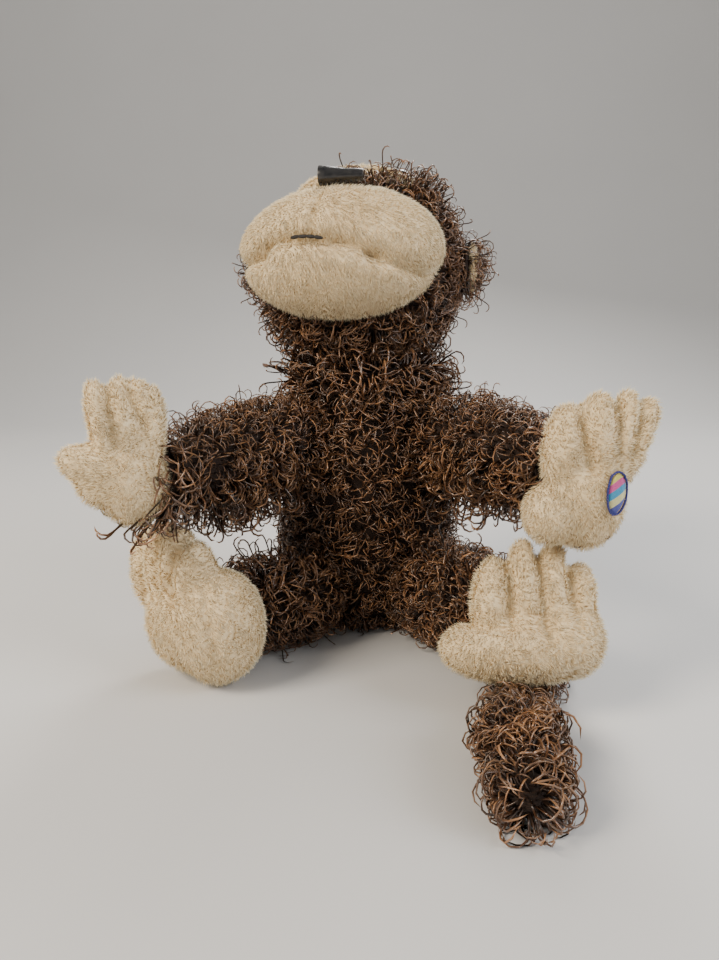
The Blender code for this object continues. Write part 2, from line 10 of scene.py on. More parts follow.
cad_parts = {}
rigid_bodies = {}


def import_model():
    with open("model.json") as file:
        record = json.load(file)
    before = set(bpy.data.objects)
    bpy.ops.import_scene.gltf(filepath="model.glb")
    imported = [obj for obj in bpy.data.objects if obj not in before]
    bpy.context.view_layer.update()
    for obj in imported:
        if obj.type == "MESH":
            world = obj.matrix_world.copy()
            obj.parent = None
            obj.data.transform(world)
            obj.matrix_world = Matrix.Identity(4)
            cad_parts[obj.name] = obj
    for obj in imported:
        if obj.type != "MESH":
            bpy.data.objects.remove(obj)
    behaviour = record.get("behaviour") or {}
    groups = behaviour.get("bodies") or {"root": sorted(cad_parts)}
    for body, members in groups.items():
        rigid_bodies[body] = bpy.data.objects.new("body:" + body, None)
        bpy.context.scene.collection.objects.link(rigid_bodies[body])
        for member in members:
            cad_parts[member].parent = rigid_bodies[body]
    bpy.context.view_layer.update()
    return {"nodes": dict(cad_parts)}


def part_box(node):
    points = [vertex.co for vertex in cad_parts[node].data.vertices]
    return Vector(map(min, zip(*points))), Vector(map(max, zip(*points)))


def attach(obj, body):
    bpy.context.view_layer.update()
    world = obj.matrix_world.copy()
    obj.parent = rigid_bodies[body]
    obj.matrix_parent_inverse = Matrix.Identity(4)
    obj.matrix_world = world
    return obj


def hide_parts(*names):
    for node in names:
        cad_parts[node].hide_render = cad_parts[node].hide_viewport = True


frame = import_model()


# The studio: a plain pale sheet that curves up behind the toy, three soft lamps,
# and a camera just above the toy's face height that looks a little down at it.
def node(tree, kind, inputs=None, **settings):
    """Adds one shader node; each input is a number, a colour or another node's output."""
    made = tree.nodes.new("ShaderNode" + kind)
    for key, value in settings.items():
        setattr(made, key, value)
    for key, value in (inputs or {}).items():
        if isinstance(value, bpy.types.NodeSocket):
            tree.links.new(value, made.inputs[key])
        else:
            made.inputs[key].default_value = value
    return made


def blank_material(name, roughness, **sockets):
    """A Principled material with its even values set on the shader itself."""
    made = bpy.data.materials.new(name)
    made.use_nodes = True
    shader = made.node_tree.nodes["Principled BSDF"]
    shader.inputs["Roughness"].default_value = roughness
    for key, value in sockets.items():
        shader.inputs[key.replace("_", " ")].default_value = value
    return made, made.node_tree, shader


def as_piece(work, name):
    """Closes a bmesh into a new object at the origin, with its faces pointing out."""
    bmesh.ops.recalc_face_normals(work, faces=work.faces)
    mesh = bpy.data.meshes.new(name)
    work.to_mesh(mesh)
    work.free()
    made = bpy.data.objects.new(name, mesh)
    bpy.context.scene.collection.objects.link(made)
    for face in mesh.polygons:
        face.use_smooth = True
    return made


sheet = bmesh.new()
bmesh.ops.create_grid(sheet, x_segments=1, y_segments=1, size=2.5, matrix=Matrix.Translation((0, -0.9, -0.0004)))
back = [edge for edge in sheet.edges if all(vert.co.y > 1.0 for vert in edge.verts)]
raised = bmesh.ops.extrude_edge_only(sheet, edges=back)["geom"]
bmesh.ops.translate(sheet, vec=(0, 0, 2.6), verts=[part for part in raised if isinstance(part, bmesh.types.BMVert)])
bmesh.ops.bevel(sheet, geom=back, offset=0.9, segments=24, profile=0.5, affect="EDGES", material=-1)
studio_sheet = as_piece(sheet, "studio_sheet")
pale, tree, shader = blank_material("pale_sheet", 0.75)
place = node(tree, "TexCoord")
mottle = node(tree, "TexNoise", {"Vector": place.outputs["Object"], "Scale": 3.0, "Detail": 3.0})
tint = node(tree, "MapRange", {"Value": mottle.outputs[0], "To Min": 0.60, "To Max": 0.66})
tree.links.new(tint.outputs[0], shader.inputs["Base Color"])
studio_sheet.data.materials.append(pale)


def lamp(name, place, size, watts, colour):
    """A square soft lamp aimed at the toy's chest."""
    made = bpy.data.objects.new(name, bpy.data.lights.new(name, "AREA"))
    made.data.size, made.data.energy, made.data.color = size, watts, colour
    made.location = place
    made.rotation_euler = (Vector((0, 0, 0.1)) - Vector(place)).to_track_quat("-Z", "Y").to_euler()
    bpy.context.scene.collection.objects.link(made)


lamp("key_lamp", (-0.75, -0.55, 0.75), 0.45, 15.0, (1.0, 0.88, 0.72))
lamp("fill_lamp", (0.85, -0.45, 0.55), 0.6, 8.5, (0.97, 0.98, 1.0))
lamp("rim_lamp", (0.25, 0.75, 0.85), 0.5, 9.0, (1.0, 0.97, 0.93))
world = bpy.data.worlds.new("studio_air")
world.use_nodes = True
world.node_tree.nodes["Background"].inputs["Color"].default_value = (1.0, 0.98, 0.95, 1.0)
world.node_tree.nodes["Background"].inputs["Strength"].default_value = 0.38
bpy.context.scene.world = world
camera = bpy.data.objects.new("studio_camera", bpy.data.cameras.new("studio_camera"))
camera.data.sensor_fit, camera.data.sensor_height, camera.data.lens = "VERTICAL", 36.0, 27.04
camera.location, camera.rotation_euler = (-0.004, -0.365, 0.149), (radians(78), 0, 0)
bpy.context.scene.collection.objects.link(camera)
bpy.context.scene.camera = camera


# The torso's cover: knitted backing cloth, sewn to a pear shape and packed with fibre over a bean pouch.
# It starts as the filling's own shape and swells as the fibre pushes it, with every joint's hollow held.
def settle(piece):
    """Makes what the piece's modifiers give its own mesh."""
    bpy.context.view_layer.update()
    graph = bpy.context.evaluated_depsgraph_get()
    mesh = bpy.data.meshes.new_from_object(piece.evaluated_get(graph), depsgraph=graph)
    piece.modifiers.clear()
    piece.data = mesh
    return piece


def points_of(mesh, what="co"):
    """One row of three numbers for each of a mesh's points."""
    flat = np.empty(len(mesh.vertices) * 3)
    mesh.vertices.foreach_get(what, flat)
    return flat.reshape(-1, 3)


CLOTH_PRESSURE, CLOTH_MASS, CLOTH_STEPS = 4.0, 0.08, 20


def filled(piece, weave, swell, joints=(), valley=None, seams=None):
    """Turns a closed rough cover into even cloth and lets its filling push it out, by at most swell.
    Cloth near a joint, along a sewn seam or down in a valley is held."""
    even = piece.modifiers.new("even_cloth", "REMESH")
    even.mode, even.voxel_size = "VOXEL", weave
    settle(piece)
    work = bmesh.new()
    work.from_mesh(piece.data)
    for _ in range(4):
        bmesh.ops.smooth_vert(work, verts=work.verts, factor=0.5, use_axis_x=True, use_axis_y=True, use_axis_z=True)
    held = np.zeros(len(work.verts))
    if seams:
        held = np.maximum(held, seams(work))
    work.normal_update()
    for vert in work.verts:
        if valley is not None:
            around = sum((edge.other_vert(vert).co for edge in vert.link_edges), Vector()) / len(vert.link_edges)
            if (around - vert.co).dot(vert.normal) > valley:
                held[vert.index] = 1.0
        for centre, radius in joints:
            if (vert.co - Vector(centre)).length < radius:
                held[vert.index] = 1.0
    work.to_mesh(piece.data)
    work.free()
    rest, facing = points_of(piece.data), points_of(piece.data, "normal")
    group = piece.vertex_groups.new(name="held")
    for index in np.flatnonzero(held > 0.02):
        group.add([int(index)], float(held[index]), "REPLACE")
    cloth = piece.modifiers.new("filling", "CLOTH")
    cloth.settings.use_pressure = True
    cloth.settings.uniform_pressure_force = CLOTH_PRESSURE
    cloth.settings.effector_weights.gravity = 0.0
    cloth.settings.mass = CLOTH_MASS
    cloth.settings.quality = 4
    cloth.settings.vertex_group_mass = "held"
    cloth.collision_settings.use_collision = False
    for step in range(1, CLOTH_STEPS + 1):
        bpy.context.scene.frame_set(step)
    graph = bpy.context.evaluated_depsgraph_get()
    moved = points_of(piece.evaluated_get(graph).data)
    piece.modifiers.clear()
    piece.vertex_groups.clear()
    bpy.context.scene.frame_set(1)
    shift = moved - rest
    length = np.linalg.norm(shift, axis=1) + 1e-12
    shift *= np.minimum(1.0, swell / length)[:, None]
    piece.data.vertices.foreach_set("co", (rest + shift).ravel())
    work = bmesh.new()
    work.from_mesh(piece.data)
    bmesh.ops.smooth_vert(work, verts=work.verts, factor=0.35, use_axis_x=True, use_axis_y=True, use_axis_z=True)
    bmesh.ops.recalc_face_normals(work, faces=work.faces)
    work.to_mesh(piece.data)
    work.free()
    for face in piece.data.polygons:
        face.use_smooth = True
    round_off = piece.modifiers.new("round_off", "SUBSURF")
    round_off.levels = round_off.render_levels = 1
    return piece


def filling_copy(node_name, name):
    """A bmesh that starts as the merged shape of a hidden filling."""
    work = bmesh.new()
    work.from_mesh(frame["nodes"][node_name].data)
    bmesh.ops.remove_doubles(work, verts=work.verts, dist=1e-6)
    return work


def group_of(name, inputs, outputs):
    """An empty node group with its sockets, and its input and output nodes."""
    tree = bpy.data.node_groups.new(name, "ShaderNodeTree")
    for label, kind, value in inputs:
        made = tree.interface.new_socket(name=label, in_out="INPUT", socket_type="NodeSocket" + kind)
        made.default_value = value
    for label, kind in outputs:
        tree.interface.new_socket(name=label, in_out="OUTPUT", socket_type="NodeSocket" + kind)
    return tree, tree.nodes.new("NodeGroupInput"), tree.nodes.new("NodeGroupOutput")


def two_tone(tree, share, low, high):
    """A colour that goes from low to high as the share goes from 0 to 1."""
    return node(tree, "Mix", {0: share, 6: low, 7: high}, data_type="RGBA").outputs[2]


def join(tree, onto, **sockets):
    """Links each output to the socket of its name."""
    for key, value in sockets.items():
        tree.links.new(value, onto.inputs[key.replace("_", " ")])


def ball(work, place, size, around=32, down=20):
    """Adds a closed round form with three half widths, in its place."""
    size = Matrix.Diagonal((*size, 1))
    bmesh.ops.create_uvsphere(work, u_segments=around, v_segments=down, radius=1.0, matrix=place @ size)


# Plain woven or knitted thread, in three crossing directions so that it runs round a curved cover. Between the
# raised threads the colour darkens to the valley colour, which is painted shade, and noise blotches vary how pale
# the crowns are.
woven, take, give = group_of(
    "woven_thread",
    [
        ("Shaded_valley", "Color", (0.02, 0.01, 0.01, 1)),
        ("Crown", "Color", (0.1, 0.05, 0.03, 1)),
        ("Threads", "Float", 900.0),
    ],
    [("Colour", "Color"), ("Height", "Float")],
)
place = node(woven, "TexCoord")
thread = {"Vector": place.outputs["Object"], "Scale": take.outputs["Threads"], "Distortion": 0.6, "Detail": 1.0}
grid = [node(woven, "TexWave", thread, bands_direction=way) for way in ("X", "Y", "Z")]
crossed = node(woven, "Math", {0: grid[0].outputs["Fac"], 1: grid[1].outputs["Fac"]}, operation="MAXIMUM")
crossed = node(woven, "Math", {0: crossed.outputs[0], 1: grid[2].outputs["Fac"]}, operation="MULTIPLY")
blotch = node(woven, "TexNoise", {"Vector": place.outputs["Object"], "Scale": 120.0, "Detail": 4.0})
amount = node(woven, "Math", {0: crossed.outputs[0], 1: blotch.outputs[0]}, operation="MULTIPLY_ADD")
amount.inputs[2].default_value = 0.1
mixed = two_tone(woven, amount.outputs[0], take.outputs["Shaded_valley"], take.outputs["Crown"])
join(woven, give, Colour=mixed, Height=crossed.outputs[0])


def thread_cloth(name, valley, crown, threads, roughness, depth, **sockets):
    """A material of plain woven thread: valley is the painted shade between the threads and crown is the thread's
    own colour.
    """
    made, tree, shader = blank_material(name, roughness, **sockets)
    weave = node(tree, "Group", node_tree=woven)
    weave.inputs["Shaded_valley"].default_value = (*valley, 1)
    weave.inputs["Crown"].default_value = (*crown, 1)
    weave.inputs["Threads"].default_value = threads
    bump = node(tree, "Bump", {"Height": weave.outputs["Height"], "Strength": 0.6, "Distance": depth})
    join(tree, shader, Base_Color=weave.outputs["Colour"], Normal=bump.outputs[0])
    return made


fur_backing = thread_cloth("brown_knit_backing", (0.010, 0.005, 0.003), (0.045, 0.020, 0.010), 420.0, 0.95, 2e-4)
work = filling_copy("torso_stuffing", "torso")
low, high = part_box("seat_bean_pouch")
OVER_POUCH = Vector((0.002, 0.002, 0.0045))
ball(work, Matrix.Translation((low + high) / 2), (high - low) / 2 + OVER_POUCH, 24, 12)
torso = as_piece(work, "torso_padding")
SHOULDERS = {"right": (-0.038, -0.012, 0.096), "left": (0.038, -0.012, 0.096)}
HIPS = {"right": (-0.0301, -0.033, 0.021), "left": (0.0301, -0.033, 0.021)}
NECK = (0, 0.008, 0.150)
sockets = [(at, 0.021) for at in (*SHOULDERS.values(), *HIPS.values())] + [(NECK, 0.030)]
filled(torso, 0.0035, 0.0027, joints=sockets)
torso.data.materials.append(fur_backing)
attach(torso, "torso")
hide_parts("torso_cover", "torso_stuffing")


# The fur on the torso: glossy brown fibres, knitted into the backing and set in tight hooks by heat.
# Twelve shapes of hooked fibre, each drawn out of a small triangle, stand in their thousands over the
# cover, and three longer ones stand where the curl is pulled out.
def drawn_on(work, end):
    """Extrudes an end face, and gives the new end face and its corners."""
    grown = bmesh.ops.extrude_face_region(work, geom=end)["geom"]
    faces = [part for part in grown if isinstance(part, bmesh.types.BMFace)]
    return faces, [part for part in grown if isinstance(part, bmesh.types.BMVert)]


def fibre(steps, thick):
    """A fibre with three sides, in millimetres: each step draws its end on by a length, a turn and a
    sideways drift, and makes it thinner or thicker."""
    work = bmesh.new()
    share = work.verts.layers.float.new("share")
    bmesh.ops.create_circle(work, cap_ends=True, segments=3, radius=thick)
    end, here = list(work.faces), Matrix.Identity(4)
    for index, (length, turn, drift, width) in enumerate(steps, 1):
        end, verts = drawn_on(work, end)
        onward = here @ Matrix.Translation((0, drift, length)) @ Matrix.Rotation(turn, 4, "Y")
        thinner = Matrix.Diagonal((width, width, 1, 1))
        bmesh.ops.transform(work, matrix=onward @ thinner @ here.inverted(), verts=verts)
        here = onward
        for vert in verts:
            vert[share] = index / len(steps)
    bmesh.ops.pointmerge(work, verts=verts, merge_co=here.translation)
    bmesh.ops.triangulate(work, faces=work.faces)
    bmesh.ops.recalc_face_normals(work, faces=work.faces)
    work.verts.index_update()
    shape = np.array([vert.co for vert in work.verts])
    shares = np.array([vert[share] for vert in work.verts])
    faces = np.array([[vert.index for vert in face.verts] for face in work.faces])
    work.free()
    return shape, shares, faces


# Each shape: its stem's length, its hook's radius, how far the hook turns in degrees, and its steps.
TIGHT_HOOKS = (
    (2.4, 2.2, 230, 5), (2.8, 2.6, 200, 5), (2.0, 3.0, 215, 5), (3.2, 2.0, 185, 4), (2.2, 3.4, 180, 5),
    (2.6, 2.4, 235, 6), (1.8, 2.8, 250, 6), (3.4, 2.7, 160, 5), (2.4, 3.2, 210, 5), (2.8, 2.1, 190, 5),
    (1.6, 3.9, 190, 6), (3.0, 1.9, 240, 5),
)
WILD_HOOKS = ((8.6, 2.0, 190, 5), (10.6, 1.8, 150, 4), (7.2, 2.5, 210, 5))
TIGHT, WILD = len(TIGHT_HOOKS), len(WILD_HOOKS)
FIBRE_RADIUS = 0.23
HOOKS = []
for stem, hook, turned, steps in TIGHT_HOOKS + WILD_HOOKS:
    turn, arc = radians(turned) / steps, hook * radians(turned) / steps
    first, middle, last = (arc, turn, 0.1 * hook, 1.12), (arc, turn, 0.1 * hook, 0.94), (arc, turn, 0.1, 0.6)
    HOOKS.append(fibre([(stem, 0.15, 0.2, 1.1), first] + [middle] * (steps - 2) + [last], FIBRE_RADIUS))


def distance_to(line, points):
    """How far each point is from a line of straight lengths."""
    best = np.full(len(points), 1e9)
    for start, end in zip(line, line[1:]):
        run = end - start
        share = np.clip(((points - start) @ run) / (run @ run), 0, 1)
        best = np.minimum(best, np.linalg.norm(points - start - share[:, None] * run, axis=1))
    return best


def scattered(piece, per_mm2, seed, buried=(), bare=(), reach=0.003):
    """Even random roots over a cover and the cover's slope at each, without those inside a neighbouring piece
    or near a line that is left bare."""
    mesh = piece.data
    mesh.calc_loop_triangles()
    corners = np.empty(len(mesh.loop_triangles) * 3, np.int32)
    mesh.loop_triangles.foreach_get("vertices", corners)
    corners = corners.reshape(-1, 3)
    points, facing = points_of(mesh), points_of(mesh, "normal")
    a, b, c = (points[corners[:, index]] for index in range(3))
    area = np.linalg.norm(np.cross(b - a, c - a), axis=1) / 2
    draw = np.random.default_rng(seed)
    count = int(area.sum() * 1e6 * per_mm2)
    chosen = draw.choice(len(area), count, p=area / area.sum())
    u, v = draw.random(count), draw.random(count)
    over = u + v > 1
    u[over], v[over] = 1 - u[over], 1 - v[over]
    weights = np.stack([1 - u - v, u, v], 1)[:, :, None]
    roots = (points[corners[chosen]] * weights).sum(1)
    normals = (facing[corners[chosen]] * weights).sum(1)
    normals /= np.linalg.norm(normals, axis=1)[:, None]
    keep = np.ones(count, bool)
    for line, distance in bare:
        keep &= distance_to([np.array(point) for point in line], roots) > distance
    for neighbour in buried:
        for index in np.flatnonzero(keep):
            probe = Vector(roots[index] + normals[index] * reach)
            at, slope, _, _ = neighbour.find_nearest(probe)
            if at is not None and (probe - at).dot(slope) < 0:
                keep[index] = False
    return roots[keep], normals[keep]


def solid_of(piece):
    """What a piece fills, for finding roots that lie inside it."""
    return BVHTree.FromPolygons(
        [vert.co for vert in piece.data.vertices], [list(face.vertices) for face in piece.data.polygons]
    )


def clouds(roots, size, offset):
    """A smooth random value from about -1 to 1 at each root, in patches of the given size."""
    return np.array([noise.noise(Vector(root / size) + Vector((offset, 0, 0))) for root in roots]) * 1.6


def unit(vectors):
    return vectors / (np.linalg.norm(vectors, axis=1)[:, None] + 1e-12)


TABLE_GAP = 0.0003


def planted(name, kinds, kind, roots, along, bend, sizes, tones, most, finish):
    """Stands a turned and sized copy of its kind of fibre on each root. The fibres are split into pieces
    round the cover, each of at most most fibres, and none goes below the table."""
    side = np.cross(along, bend)
    made = []
    across, deep = roots[:, 0] - roots[:, 0].mean(), roots[:, 1] - roots[:, 1].mean()
    order = np.argsort(np.arctan2(deep, across), kind="stable")
    batches = np.array_split(order, max(1, -(-len(roots) // most)))
    for number, batch in enumerate(batches, 1):
        points, faces, maps, start = [], [], [], 0
        for index, (shape, shares, triangles) in enumerate(kinds):
            mine = batch[kind[batch] == index]
            local = shape[None] * sizes[mine][:, None, None]
            here = (
                roots[mine][:, None]
                + local[:, :, 0:1] * bend[mine][:, None]
                + local[:, :, 1:2] * side[mine][:, None]
                + local[:, :, 2:3] * along[mine][:, None]
            )
            points.append(here.reshape(-1, 3))
            step = np.arange(len(mine))[:, None, None] * len(shape) + start
            faces.append((triangles[None] + step).reshape(-1, 3))
            tone = np.repeat(tones[mine], len(shape))
            maps.append(np.stack([tone, np.tile(0.02 + 0.96 * shares, len(mine))], 1))
            start += len(mine) * len(shape)
        points, faces, maps = np.concatenate(points), np.concatenate(faces), np.concatenate(maps)
        points[:, 2] = np.maximum(points[:, 2], TABLE_GAP)
        mesh = bpy.data.meshes.new(f"{name}_{number}" if len(batches) > 1 else name)
        mesh.vertices.add(len(points))
        mesh.vertices.foreach_set("co", points.ravel())
        mesh.loops.add(faces.size)
        mesh.loops.foreach_set("vertex_index", faces.ravel().astype(np.int32))
        mesh.polygons.add(len(faces))
        mesh.polygons.foreach_set("loop_start", np.arange(0, faces.size, 3, dtype=np.int32))
        mesh.update(calc_edges=True)
        mesh.polygons.foreach_set("use_smooth", np.ones(len(faces), bool))
        mesh.uv_layers.new(name="OFBake").data.foreach_set("uv", maps[faces.ravel()].ravel())
        mesh.materials.append(finish)
        piece = bpy.data.objects.new(mesh.name, mesh)
        bpy.context.scene.collection.objects.link(piece)
        made.append(piece)
    return made


# The colour of a fibre, from its own map: across is the fibre's tone, up is the way from root to tip. The colour
# darkens towards the root as painted shade deep in the coat and pales towards the tip, which on the brown fur is a
# painted highlight.
dye_and_light, take, give = group_of(
    "fibre_dye_and_light",
    [("Root", "Color", (0, 0, 0, 1)), ("Middle", "Color", (0, 0, 0, 1)), ("Tip", "Color", (0, 0, 0, 1)),
     ("Darkest", "Float", 0.5), ("Palest", "Float", 1.6), ("Smoothest", "Float", 0.35), ("Dullest", "Float", 0.55)],
    [("Colour", "Color"), ("Roughness", "Float")],
)
fibre_map = node(dye_and_light, "SeparateXYZ", {0: node(dye_and_light, "UVMap", uv_map="OFBake").outputs[0]})
dark_part = 0.45  # the share of a fibre's length that goes from the root's colour to the middle's
tone_of, way_up = fibre_map.outputs[0], fibre_map.outputs[1]
low_part = node(dye_and_light, "MapRange", {"Value": way_up, "From Max": dark_part}, interpolation_type="SMOOTHSTEP")
high_part = node(dye_and_light, "MapRange", {"Value": way_up, "From Min": dark_part}, interpolation_type="SMOOTHSTEP")
lower = two_tone(dye_and_light, low_part.outputs[0], take.outputs["Root"], take.outputs["Middle"])
whole = two_tone(dye_and_light, high_part.outputs[0], lower, take.outputs["Tip"])
shades = {"To Min": take.outputs["Darkest"], "To Max": take.outputs["Palest"]}
shade = node(dye_and_light, "MapRange", {"Value": tone_of, **shades})
tinted = node(dye_and_light, "VectorMath", {0: whole}, operation="SCALE")
join(dye_and_light, tinted, Scale=shade.outputs[0])
glosses = {"To Min": take.outputs["Dullest"], "To Max": take.outputs["Smoothest"]}
gloss = node(dye_and_light, "MapRange", {"Value": tone_of, **glosses})
join(dye_and_light, give, Colour=tinted.outputs[0], Roughness=gloss.outputs[0])


def fibre_finish(name, root, middle, tip, darkest, palest, smoothest, dullest, **sockets):
    """A material for drawn fibres, darkened at the root as painted shade."""
    made, tree, shader = blank_material(name, 0.5, **sockets)
    dye_and_light_node = node(tree, "Group", node_tree=dye_and_light)
    for key, value in (("Root", root), ("Middle", middle), ("Tip", tip)):
        dye_and_light_node.inputs[key].default_value = (*value, 1)
    for key, value in (("Darkest", darkest), ("Palest", palest), ("Smoothest", smoothest), ("Dullest", dullest)):
        dye_and_light_node.inputs[key].default_value = value
    join(tree, shader, Base_Color=dye_and_light_node.outputs["Colour"], Roughness=dye_and_light_node.outputs["Roughness"])
    return made


# The dark root colour is painted shade deep in the coat, and the pale tip colour is a painted highlight.
curly_brown = fibre_finish(
    "curly_brown_fibre", (0.018, 0.008, 0.004), (0.105, 0.046, 0.020), (0.32, 0.165, 0.076), 0.35, 1.75, 0.24, 0.45,
    Specular_IOR_Level=0.8, Coat_Weight=0.25, Coat_Roughness=0.2,
)


DROOP = np.array([0, 0, -0.12])
MOST_HOOKS = 4600  # the fibres in one piece


def furred(name, body, cover, seed, buried=(), per_mm2=0.32, length=1.0, wild=None, groom=None):
    """Plants hooked fibres all over a cover: neighbours hook the same way in small locks, and all hang a
    little. wild says how likely a fibre is to be pulled out, and groom how much longer it grows and which
    way it is combed."""
    roots, normals = scattered(cover, per_mm2, seed, buried)
    draw = np.random.default_rng(seed + 1)
    across = unit(np.cross(normals, np.array([0.31, 0.22, 0.92])))
    round_it = np.cross(normals, across)
    swirl = 5.5 * clouds(roots, 0.0085, 3.0) + draw.normal(0, 0.38, len(roots))
    hook = across * np.cos(swirl)[:, None] + round_it * np.sin(swirl)[:, None]
    lock = np.stack([clouds(roots, 0.006, 60.0 + 9 * axis) for axis in range(3)], 1)
    along = unit(normals + 0.45 * lock + draw.normal(0, 0.2, (len(roots), 3)) + hook * -0.3 + DROOP)
    longer = np.ones(len(roots))
    if groom is not None:
        longer, combed = groom(roots, normals)
        along = unit(along + combed)
    hook = unit(hook - along * (hook * along).sum(1)[:, None])
    uneven = draw.normal(1.0, 0.14, len(roots)) + 0.14 * clouds(roots, 0.012, 9.0)
    sizes = longer * length * 1e-3 * np.clip(uneven, 0.55, 1.45)
    tones = np.clip(0.45 + 0.26 * clouds(roots, 0.009, 17.0) + draw.normal(0, 0.2, len(roots)), 0.01, 0.99)
    in_locks = (clouds(roots, 0.0075, 23.0) * 0.5 + 0.5) * TIGHT
    kind = np.floor(in_locks + draw.integers(3, size=len(roots))).astype(int) % TIGHT
    if wild is not None:
        kind = np.where(wild(roots) > draw.random(len(roots)), TIGHT + draw.integers(WILD, size=len(roots)), kind)
    for piece in planted(name, HOOKS, kind, roots, along, hook, sizes, tones, MOST_HOOKS, curly_brown):
        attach(piece, body)


# The head's cover: four gores of the same curly cloth over a round filling, cut off flat at the neck, where
# a neck ball joins it. It is thrown back, so its whole front is the underside of the jaw and the muzzle.
work = bmesh.new()
HEAD, HEAD_SIZE = Vector((-0.0025, 0.008, 0.177)), Vector((0.048, 0.045, 0.046))
BEFORE_SWELL = Vector((0.0029, 0.0029, 0.0029))
ball(work, Matrix.Translation(HEAD), HEAD_SIZE - BEFORE_SWELL)
everything = work.verts[:] + work.edges[:] + work.faces[:]
bmesh.ops.bisect_plane(work, geom=everything, plane_co=(0, 0, 0.147), plane_no=(0, 0, -1), clear_outer=True)
bmesh.ops.holes_fill(work, edges=[edge for edge in work.edges if edge.is_boundary], sides=0)
NECK_RADIUS = 0.0225
neck_place = Matrix.Translation(NECK)
bmesh.ops.create_uvsphere(work, u_segments=24, v_segments=16, radius=NECK_RADIUS, matrix=neck_place)
head = as_piece(work, "head_padding")
filled(head, 0.0032, 0.0027, joints=[(NECK, 0.0265)])
head.data.materials.append(fur_backing)
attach(head, "head")
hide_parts("head_cover", "head_stuffing")

# The muzzle: one pouch of short cream plush in two panels. A smile seam parts the chin from the upper panel,
# and a short seam runs from the nose to the mouth; both are pulled in tight, and the panels swell between them.
turned_aside, leaned, thrown_back = (
    Matrix.Rotation(radians(angle), 3, axis) for angle, axis in ((-14, "Z"), (-1, "Y"), (-48, "X"))
)
head_turn = turned_aside @ leaned @ thrown_back
left_way, front_way, up_way = head_turn.col[0].copy(), -head_turn.col[1], head_turn.col[2].copy()
muzzle_centre = HEAD + Vector((-0.0017, 0, -0.003)) + front_way * 0.029 - up_way * 0.021
MUZZLE_SIZE = Vector((0.0465, 0.0272, 0.0296))
muzzle_place = Matrix.Translation(muzzle_centre) @ head_turn.to_4x4() @ Matrix.Diagonal((*MUZZLE_SIZE, 1))
# Directions from the muzzle's middle to its seams, in the head's own axes: left, back and up.
SMILE = [
    (-1.0, 0.1, -0.2), (-0.96, -0.08, -0.27), (-0.82, -0.28, -0.48), (-0.68, -0.45, -0.58), (-0.61, -0.60, -0.52),
    (-0.46, -0.72, -0.52), (-0.29, -0.76, -0.58), (-0.14, -0.79, -0.59), (0.0, -0.78, -0.63), (0.15, -0.75, -0.64),
    (0.28, -0.71, -0.65), (0.41, -0.60, -0.68), (0.52, -0.48, -0.71), (0.65, -0.34, -0.68), (0.78, -0.15, -0.61),
    (0.89, 0.16, -0.42), (0.93, 0.3, -0.2),
]
LIP = [(-0.12, -0.92, 0.37), (-0.10, -0.99, -0.11), (-0.12, -0.94, -0.31), (-0.10, -0.84, -0.53)]
DIMPLES = [((-0.68, -0.45, -0.58), 0.0045), ((0.52, -0.48, -0.71), 0.0045)]
DIMPLE_WIDTH = 0.0045


def on_muzzle(way, lift=0.0):
    """The muzzle's surface in a direction of the head's axes, raised by lift."""
    way = Vector(way).normalized()
    outward = head_turn @ Vector([way[axis] / MUZZLE_SIZE[axis] for axis in range(3)]).normalized()
    return muzzle_place @ way + outward * lift, outward


def muzzle_seams(work):
    """Pulls the cloth in along the seams and dimples, and says how firmly each point is held."""
    points = np.array([vert.co for vert in work.verts])
    held = np.zeros(len(points))
    middle = np.array(muzzle_centre)
    pull = np.zeros(len(points))
    for line, depth, wide in ((SMILE, 0.0058, 0.0032), (LIP, 0.0024, 0.0017)):
        route = [np.array(on_muzzle(way)[0]) for way in line]
        away = distance_to(route, points)
        pull = np.maximum(pull, depth * np.exp(-((away / wide) ** 2)))
        held = np.maximum(held, (away < wide * 0.55).astype(float))
    for way, depth in DIMPLES:
        away = np.linalg.norm(points - np.array(on_muzzle(way)[0]), axis=1)
        pull += depth * np.exp(-((away / DIMPLE_WIDTH) ** 2))
    toward = middle - points
    toward /= np.linalg.norm(toward, axis=1)[:, None]
    for vert, way, much in zip(work.verts, toward, pull):
        vert.co += Vector(way * much)
    return held


work = bmesh.new()
bmesh.ops.create_uvsphere(work, u_segments=48, v_segments=32, radius=1.0, matrix=muzzle_place)
muzzle = as_piece(work, "muzzle_padding")
filled(muzzle, 0.0016, 0.0024, seams=muzzle_seams)

# Short plush pile: a pale backing with the pile's clumps and partings in it; the low spots between the hairs and
# clumps are darkened as painted shade.
plush, take, give = group_of(
    "short_plush",
    [("Deep_shade", "Color", (0.4, 0.3, 0.2, 1)), ("Pale", "Color", (0.8, 0.7, 0.5, 1))],
    [("Colour", "Color"), ("Height", "Float")],
)
place = node(plush, "TexCoord")
bent = node(plush, "TexNoise", {"Vector": place.outputs["Object"], "Scale": 140.0, "Detail": 2.0})
bending = {0: bent.outputs["Color"], 1: (0.004, 0.004, 0.004), 2: place.outputs["Object"]}
pushed = node(plush, "VectorMath", bending, operation="MULTIPLY_ADD")
lying = node(plush, "Mapping", {"Vector": pushed.outputs[0], "Scale": (1.0, 1.0, 0.28)})
hairs = node(plush, "TexNoise", {"Vector": lying.outputs[0], "Scale": 1500.0, "Detail": 3.0, "Roughness": 0.6})
clumps = node(plush, "TexNoise", {"Vector": place.outputs["Object"], "Scale": 260.0, "Detail": 3.0})
both = node(plush, "Math", {0: hairs.outputs[0], 1: 0.6, 2: clumps.outputs[0]}, operation="MULTIPLY_ADD")
spread = node(plush, "MapRange", {"Value": both.outputs[0], "From Min": 0.55, "From Max": 1.05})
